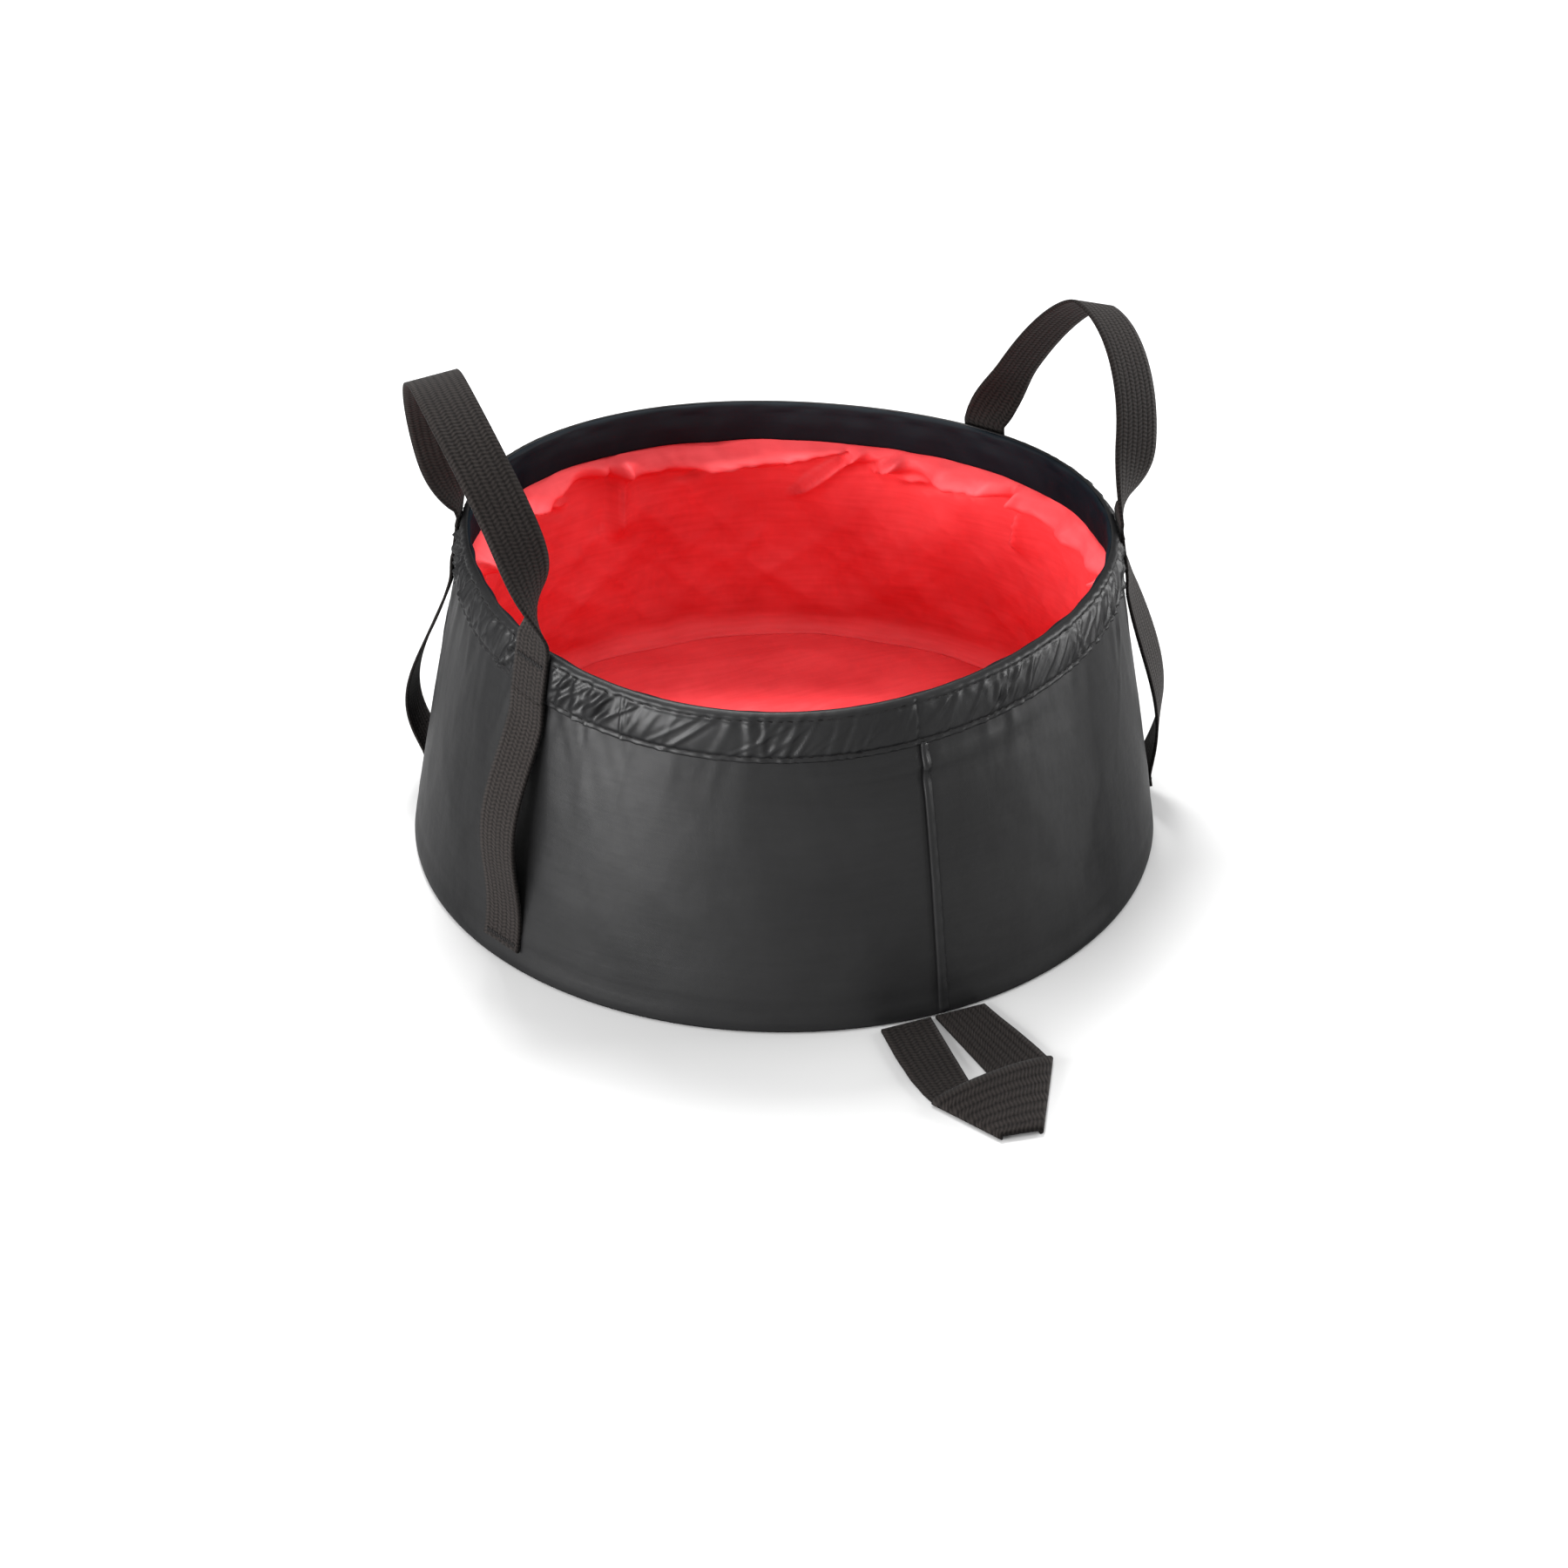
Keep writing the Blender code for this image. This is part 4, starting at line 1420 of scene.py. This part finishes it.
@dataclass
class SideStrap:
    """One strap down the outside of the wall, standing off it, sewn near the base.

    The slack is how far it bulges, the place where it bulges most, and the turn how far it swings open there.
    """

    name: str
    slack: float
    place: float
    turn: float = 0.0
    foot: float = 0.009
    sewn: float = 0.005
    sewn_steps: int = 4
    stations: int = 60
    face_gap: float = 0.00035
    hem_lift: float = 0.0013
    lift_range: tuple[float, float] = (0.88, 0.995)

    @property
    def angle(self) -> float:
        """Angle of the strap."""
        return STRAP_ANGLES[self.name]

    def rows(self, webbing: Webbing) -> list[Row]:
        """Lays the rows from the foot up to the hem.

        Args:
            webbing: The webbing that it is cut from.

        Returns:
            The rows.
        """
        low, high = self.foot + self.sewn, FORM.hem_foot + STRAP_BREAK
        rows = [self.row(self.foot + self.sewn * step / self.sewn_steps, 0.0, 0.0, webbing)
                for step in range(self.sewn_steps)]
        for step in range(self.stations + 1):
            share = step / self.stations
            phase = math.pi * share ** (math.log(0.5) / math.log(self.place))
            bulge = self.slack * math.sin(phase) ** 2 + self.hem_lift * float(between(*self.lift_range, share))
            turn = self.turn * math.sin(math.pi * share ** 1.3) ** 0.7 if share < 1.0 else 0.0
            rows.append(self.row(low + (high - low) * share, bulge, turn, webbing))
        return rows

    def row(self, height: float, bulge: float, turn: float, webbing: Webbing) -> Row:
        """Lays one row along the wall.

        Args:
            height: Height on a level rim.
            bulge: Distance that it stands off the wall.
            turn: Angle that its rear edge swings off the wall.
            webbing: The webbing.

        Returns:
            The row.
        """
        spread = webbing.width / 2.0 / FORM.rim_radius
        ends = [FORM.point(self.angle + side, WEBBING_SEAT + bulge, height) for side in (-spread, spread)]
        across = (ends[1] - ends[0]).normalized()
        outward = outward_at(self.angle)
        swung = across * math.cos(turn) + outward * math.sin(turn)
        middle = (ends[0] + ends[1]) / 2.0 + outward * self.face_gap
        return webbing.row(middle + (swung - across) * webbing.width / 2.0, swung)

    def build(self, webbing: Webbing) -> None:
        """Builds the strap and its sewn bar.

        Args:
            webbing: The webbing.
        """
        rows = self.rows(webbing)
        strap = webbing.strip(f"{self.name}_strap", rows)
        fold_flat(strap)
        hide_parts(f"{self.name}_side_strap")
        bar = webbing.sew_bar(f"{self.name}_base_bar", rows[2], rows[3], self.angle)
        fold_flat(bar)
        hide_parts(f"{self.name}_base_tack")


@dataclass(frozen=True)
class Leg:
    """How one leg of a hand loop runs: fullness, outward bow, sense and height of its twist."""

    fullness: float = 2.0
    bow: float = 0.002
    sense: float = 1.0
    twist_rise: float = 0.028


@dataclass
class HandLoop:
    """One hand loop with the two stretches sewn on the hem, in one piece of webbing.

    The rise and the lean are how far its top stands above and outside its feet, and the roll is its top's tilt.
    """

    side: str
    body: Body
    rise: float
    lean: float
    roll: float
    legs: tuple[Leg, Leg]
    stations: int = 120
    hem_steps: int = 12
    flat_foot: float = 0.0015
    bow_power: float = 0.7
    hem_lift: float = 0.0003
    hem_top: float = 0.0003
    clearance: float = 0.0003
    bend_below: float = 0.0012
    bend_above: float = 0.006
    bar_row: int = 9

    @property
    def front(self) -> float:
        """Angle of the front foot."""
        return STRAP_ANGLES[f"{self.side}_front"]

    @property
    def rear(self) -> float:
        """Angle of the rear foot."""
        return STRAP_ANGLES[f"{self.side}_rear"]

    def foot(self, angle: float) -> Vector:
        """Finds the middle of one foot, just above the top of the hem.

        Args:
            angle: Angle of the foot.

        Returns:
            The place.
        """
        spread = WEBBING_WIDTH / 2.0 / FORM.rim_radius
        foot = FORM.point(angle, FORM.hem_standoff + WEBBING_SEAT, FORM.rim_height)
        top = max(float(FORM.height_at(angle + turn)) for turn in (-spread, 0.0, spread))
        foot.z = top + math.hypot(WEBBING_THICKNESS / 2.0, self.hem_top) + self.clearance
        return foot

    def tangent(self, angle: float, towards: Vector) -> Vector:
        """Finds the direction along the hem.

        Args:
            angle: Angle of the place on the hem.
            towards: The side that it points to.

        Returns:
            The level unit vector.
        """
        spread = WEBBING_WIDTH / 2.0 / FORM.rim_radius
        run = FORM.point(angle + spread, 0.0, FORM.rim_height) - FORM.point(angle - spread, 0.0, FORM.rim_height)
        run.z = 0.0
        run.normalize()
        return run if run.dot(towards) > 0.0 else -run

    def arch_row(self, turn: float, front: Vector, rear: Vector, webbing: Webbing) -> Row:
        """Lays one row of the loop above the rim.

        Args:
            turn: 0 at the front foot, pi at the rear foot.
            front: The front foot.
            rear: The rear foot.
            webbing: The webbing.

        Returns:
            The row, flat to the hem at the feet and flat side up over the top.
        """
        middle = (front + rear) / 2.0
        along = (front - rear).normalized()
        outward = Vector((middle.x, middle.y, 0.0))
        outward = (outward - along * outward.dot(along)).normalized()
        rolled = outward * math.cos(self.roll) - UP * math.sin(self.roll)
        side = 1.0 if turn < math.pi / 2.0 else -1.0
        leg = self.legs[0 if side > 0.0 else 1]
        along_share = side * abs(math.cos(turn)) ** (2.0 / leg.fullness)
        high_share = abs(math.sin(turn)) ** (2.0 / leg.fullness)
        above = max(self.rise * high_share - self.flat_foot, 0.0)
        bow_share = (above / (self.rise - self.flat_foot)) ** self.bow_power
        centre = middle + along * (front - rear).length / 2.0 * along_share + UP * self.rise * high_share
        centre += outward * (self.lean * high_share + leg.bow * math.sin(math.pi * bow_share))
        twist = math.pi / 2.0 * math.sin(math.pi / 2.0 * min(above / leg.twist_rise, 1.0))
        flat = self.tangent(self.front if side > 0.0 else self.rear, -along * side * leg.sense)
        return webbing.row(centre, rolled * math.sin(twist) + flat * math.cos(twist))

    def rows(self, webbing: Webbing) -> list[Row]:
        """Lays the rows from the hem's foot in front, over the loop, to the hem's foot at the rear.

        Args:
            webbing: The webbing that it is cut from.

        Returns:
            The rows.
        """
        front, rear = self.foot(self.front), self.foot(self.rear)
        along = (front - rear).normalized()
        arch = [self.arch_row(math.pi * step / self.stations, front, rear, webbing)
                for step in range(1, self.stations)]
        rising = self.hem_rows(self.front, -along * self.legs[0].sense, webbing)
        falling = self.hem_rows(self.rear, along * self.legs[1].sense, webbing)
        return rising + arch + falling[::-1]

    def hem_rows(self, angle: float, towards: Vector, webbing: Webbing) -> list[Row]:
        """Lays the rows of the stretch sewn on the hem, from its foot to its top.

        Args:
            angle: Angle of the stretch.
            towards: The side that its rows point to.
            webbing: The webbing.

        Returns:
            The rows.
        """
        low, high = FORM.hem_foot + STRAP_BREAK, FORM.rim_height + self.hem_top
        offset = FORM.hem_standoff + WEBBING_SEAT + self.hem_lift
        heights = [low + (high - low) * step / self.hem_steps for step in range(self.hem_steps + 1)]
        return [webbing.row(FORM.point(angle, offset, height), self.tangent(angle, towards)) for height in heights]

    def build(self, webbing: Webbing) -> None:
        """Builds the loop and the bars that hold it to the hem.

        Args:
            webbing: The webbing.
        """
        rows = self.rows(webbing)
        loop = webbing.strip(f"{self.side}_hand_loop", rows)
        axis = (self.foot(self.front) + self.foot(self.rear)) / 2.0
        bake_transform(loop)
        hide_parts(f"{self.side}_handle", f"{self.side}_front_strap_anchor", f"{self.side}_rear_strap_anchor")
        for end, line, angle in (("front", rows, self.front), ("rear", rows[::-1], self.rear)):
            bar = webbing.sew_bar(f"{self.side}_{end}_rim_bar", line[self.bar_row], line[self.bar_row + 1], angle)
            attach(bar, Body.RIM.value)
            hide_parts(f"{self.side}_{end}_rim_tack")


@dataclass
class PullLoop:
    """The pull loop on the ground: one webbing folded slantwise twice, so that it comes back beside itself.

    Each place along it is given by its two edges, in millimetres across and out from the base.
    """

    origin: tuple[float, float] = (-0.0025, -0.155971)
    rest: float = 0.0008
    layer: float = 0.0014
    spring: float = 0.0030
    leg_steps: int = 12
    top_steps: int = 40
    bend_steps: int = 8
    first_leg: tuple[Edges, ...] = (
        (-21.3, -0.5, -1.0, -0.5), (-22.6, 15.0, -2.2, 16.0), (-22.9, 29.6, -3.6, 36.0), (-22.0, 39.0, -4.9, 56.0))
    first_fold: Edges = (-20.8, 45.0, -6.2, 71.8)
    first_outward: Vector = field(default_factory=lambda: Vector((-0.88, -0.48, 0.0)).normalized())
    second_fold: Edges = (29.1, 38.5, 7.3, 74.0)
    second_outward: Vector = field(default_factory=lambda: Vector((0.85, -0.52, 0.0)).normalized())
    second_leg: tuple[Edges, ...] = (
        (28.0, 31.0, 6.6, 56.0), (25.6, 19.0, 4.6, 36.0), (23.2, 9.0, 2.6, 16.0), (21.3, -0.5, 1.0, -0.5))

    def edge_row(self, edges: Edges, height: float) -> Row:
        """Lays the row between two edges.

        Args:
            edges: Across and out of one edge, then of the other.
            height: Height of the webbing's middle.

        Returns:
            The row.
        """
        return Row.spanning(*(Vector((self.origin[0] + across / 1000.0, self.origin[1] - out / 1000.0, height))
                              for across, out in (edges[:2], edges[2:])))

    def between_rows(self, before: Row, after: Row, steps: int, spring: float = 0.0) -> list[Row]:
        """Lays rows on the way from one row to another, without the last.

        Args:
            before: The row that they start at.
            after: The row that they lead to.
            steps: How many rows.
            spring: How far the first edge rises on the way.

        Returns:
            The rows.
        """
        rows = []
        for step in range(steps):
            share = step / steps
            lift = UP * (spring * math.sin(math.pi * share) ** 0.7)
            rows.append(Row(before.centre.lerp(after.centre, share) + lift / 2.0,
                            before.across.lerp(after.across, share) - lift))
        return rows

    def leg_rows(self, stops: list[Row]) -> list[Row]:
        """Lays the rows of one leg from stop to stop, without the last stop."""
        return [row for pair in zip(stops, stops[1:]) for row in self.between_rows(*pair, self.leg_steps)]

    def bend(self, start: Row, end: Row, outward: Vector) -> list[Row]:
        """Lays the small round bend where the webbing turns over.

        Args:
            start: The row where it begins.
            end: The row above or below where it ends.
            outward: Direction out of the bend.

        Returns:
            Its rows.
        """
        rows = []
        for step in range(self.bend_steps):
            turn = math.pi * step / self.bend_steps
            centre = start.centre.lerp(end.centre, (1.0 - math.cos(turn)) / 2.0)
            rows.append(Row(centre + outward * self.layer / 2.0 * math.sin(turn), start.across))
        return rows

    def build(self, webbing: Webbing) -> None:
        """Builds the loop from its first leg over its two folds to its second leg.

        Args:
            webbing: The webbing.
        """
        legs = [[self.edge_row(edges, self.rest) for edges in leg] for leg in (self.first_leg, self.second_leg)]
        folds = [[self.edge_row(fold, height) for height in (self.rest, self.rest + self.layer)]
                 for fold in (self.first_fold, self.second_fold)]
        (first_low, first_high), (second_low, second_high) = folds
        rows = self.leg_rows(legs[0] + [first_low])
        rows += self.bend(first_low, first_high, self.first_outward)
        rows += self.between_rows(first_high, second_high, self.top_steps, self.spring)
        rows += self.bend(second_high, second_low, self.second_outward)
        rows += self.leg_rows([second_low] + legs[1]) + [legs[1][-1]]
        loop = webbing.strip("pull_loop_webbing", rows)
        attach(loop, Body.PULL.value)
        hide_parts("pull_loop")


@dataclass(frozen=True)
class PanelLight:
    """One soft panel light: where it stands, its width and height, and its watts."""

    name: str
    place: tuple[float, float, float]
    size: tuple[float, float]
    power: float
    aim: tuple[float, float, float] = (0.0, 0.0, 0.06)

    def build(self) -> None:
        """Builds the light, aimed at the basin."""
        data = bpy.data.lights.new(self.name, "AREA")
        data.shape = "RECTANGLE"
        data.size, data.size_y = self.size
        data.energy = self.power
        lamp = put_in_scene(self.name, data)
        lamp.location = self.place
        lamp.rotation_euler = (Vector(self.aim) - Vector(self.place)).to_track_quat("-Z", "Y").to_euler()


@dataclass
class Studio:
    """Pale floor, soft lights and the camera at the photograph's angle."""

    azimuth: float = math.radians(-22.0)
    pitch: float = math.radians(32.71)
    distance: float = 1.1
    aim_height: float = 0.0117
    lens: float = 60.196
    sensor: float = 36.0
    world_strength: float = 0.80
    floor_size: float = 6.0
    floor_near: Colour = (0.46, 0.46, 0.46)
    # The far colour is painted light: the floor is painted paler away from the basin, where the lamps' light falls
    # off.
    floor_far_painted_light: Colour = (0.90, 0.90, 0.90)
    lights: tuple[PanelLight, ...] = (
        PanelLight("left", (-1.03, -0.22, 0.24), (0.9, 0.4), 29.0),
        PanelLight("right", (1.10, -0.12, 0.24), (0.8, 0.4), 24.0),
        PanelLight("front_top", (-0.20, -0.45, 1.45), (0.9, 0.9), 6.0),
        PanelLight("back_top", (0.10, 0.65, 1.30), (0.45, 0.45), 33.0),
    )

    def build(self) -> None:
        """Builds the whole studio."""
        self.build_floor()
        self.build_camera()
        for light in self.lights:
            light.build()
        world = bpy.data.worlds.new("studio")
        world.use_nodes = True
        background = world.node_tree.nodes["Background"]
        background.inputs["Color"].default_value = (1.0, 1.0, 1.0, 1.0)
        background.inputs["Strength"].default_value = self.world_strength
        bpy.context.scene.world = world
        bpy.context.scene.view_settings.view_transform = "Standard"

    def build_floor(self) -> None:
        """Builds a wide pale floor, painted paler away from the basin: painted light that makes up for the lamps'
        light falling off there.
        """
        sheet = NodeSheet("pale floor")
        place = sheet.place()
        grain = sheet.times(sheet.noise(place, 30.0, 3.0), 0.01)
        away = sheet.add("VectorMath", operation="LENGTH", Vector=place).outputs["Value"]
        reach = sheet.plus(sheet.times(away, 0.2), grain)
        # Painted light: the ramp pales the floor from the near colour to the far one as the distance from the basin
        # grows.
        sheet.dress(Base_Color=sheet.ramp(reach, (0.14, self.floor_near), (0.30, self.floor_far_painted_light)),
                    Roughness=0.9, Specular_IOR_Level=0.1)
        bm = bmesh.new()
        bmesh.ops.create_grid(bm, x_segments=4, y_segments=4, size=self.floor_size)
        put_in_scene("floor", dressed_mesh("floor", bm, sheet.material))

    def build_camera(self) -> None:
        """Builds the camera, aimed at the basin."""
        back = Vector((math.sin(self.azimuth) * math.cos(self.pitch),
                       -math.cos(self.azimuth) * math.cos(self.pitch), math.sin(self.pitch)))
        data = bpy.data.cameras.new("camera")
        data.lens = self.lens
        data.sensor_width = self.sensor
        camera = put_in_scene("camera", data)
        camera.location = UP * self.aim_height + back * self.distance
        camera.rotation_euler = (-back).to_track_quat("-Z", "Y").to_euler()
        bpy.context.scene.camera = camera


def main() -> None:
    """Builds the pieces from the base up and reports each."""
    logging.basicConfig(level=logging.INFO, format="%(message)s")
    wall_cloth = CoatedCloth(
        "coated wall cloth", light=(0.0105, 0.0105, 0.0108), dark=(0.0060, 0.0060, 0.0063),
        gloss_low=0.32, gloss_high=0.44, crumple_depth=0.0009, specular=0.21).build()
    hem_cloth = CoatedCloth(
        "coated hem cloth", light=(0.0100, 0.0100, 0.0103), dark=(0.0055, 0.0055, 0.0058),
        gloss_low=0.32, gloss_high=0.44, crumple_scale=120.0, specular=0.21).build()
    band_cloth = CoatedCloth(
        "smooth band cloth", light=(0.0050, 0.0080, 0.0110), dark=(0.0026, 0.0040, 0.0058),
        gloss_low=0.55, gloss_high=0.75, specular=0.12).build()
    lining_cloth = CoatedCloth(
        "coated lining cloth", light=(0.86, 0.090, 0.100), dark=(0.62, 0.038, 0.045), gloss_low=0.40,
        gloss_high=0.55, crumple_depth=0.0022, crumple_scale=38.0, specular=0.15, edge_fall=1.0).build()
    webbing_finish = RibbedWebbing().build()
    dark_thread = SpunThread("dark thread", (0.011, 0.010, 0.010)).build()
    OuterWall(wall_cloth).build()
    RimHem(hem_cloth, band_cloth, dark_thread).build()
    BasePanel(wall_cloth).build()
    Lining(lining_cloth).build()
    webbing = Webbing(webbing_finish, dark_thread)
    for strap in (SideStrap("right_front", slack=0.0060, place=0.33, turn=0.42),
                  SideStrap("right_rear", slack=0.009, place=0.5),
                  SideStrap("left_front", slack=0.009, place=0.5),
                  SideStrap("left_rear", slack=0.012, place=0.33)):
        strap.build(webbing)
    HandLoop("right", Body.RIGHT, rise=0.069, lean=0.017, roll=math.radians(18.0),
             legs=(Leg(), Leg(fullness=1.45))).build(webbing)
    HandLoop("left", Body.LEFT, rise=0.079, lean=0.016, roll=math.radians(8.0),
             legs=(Leg(bow=-0.006, sense=-1.0, twist_rise=0.050), Leg())).build(webbing)
    PullLoop().build(webbing)
    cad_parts["rim_hoop"].data.materials.clear()
    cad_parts["rim_hoop"].data.materials.append(SpringWire().build())
    Studio().build()


if __name__ == "__main__":
    main()
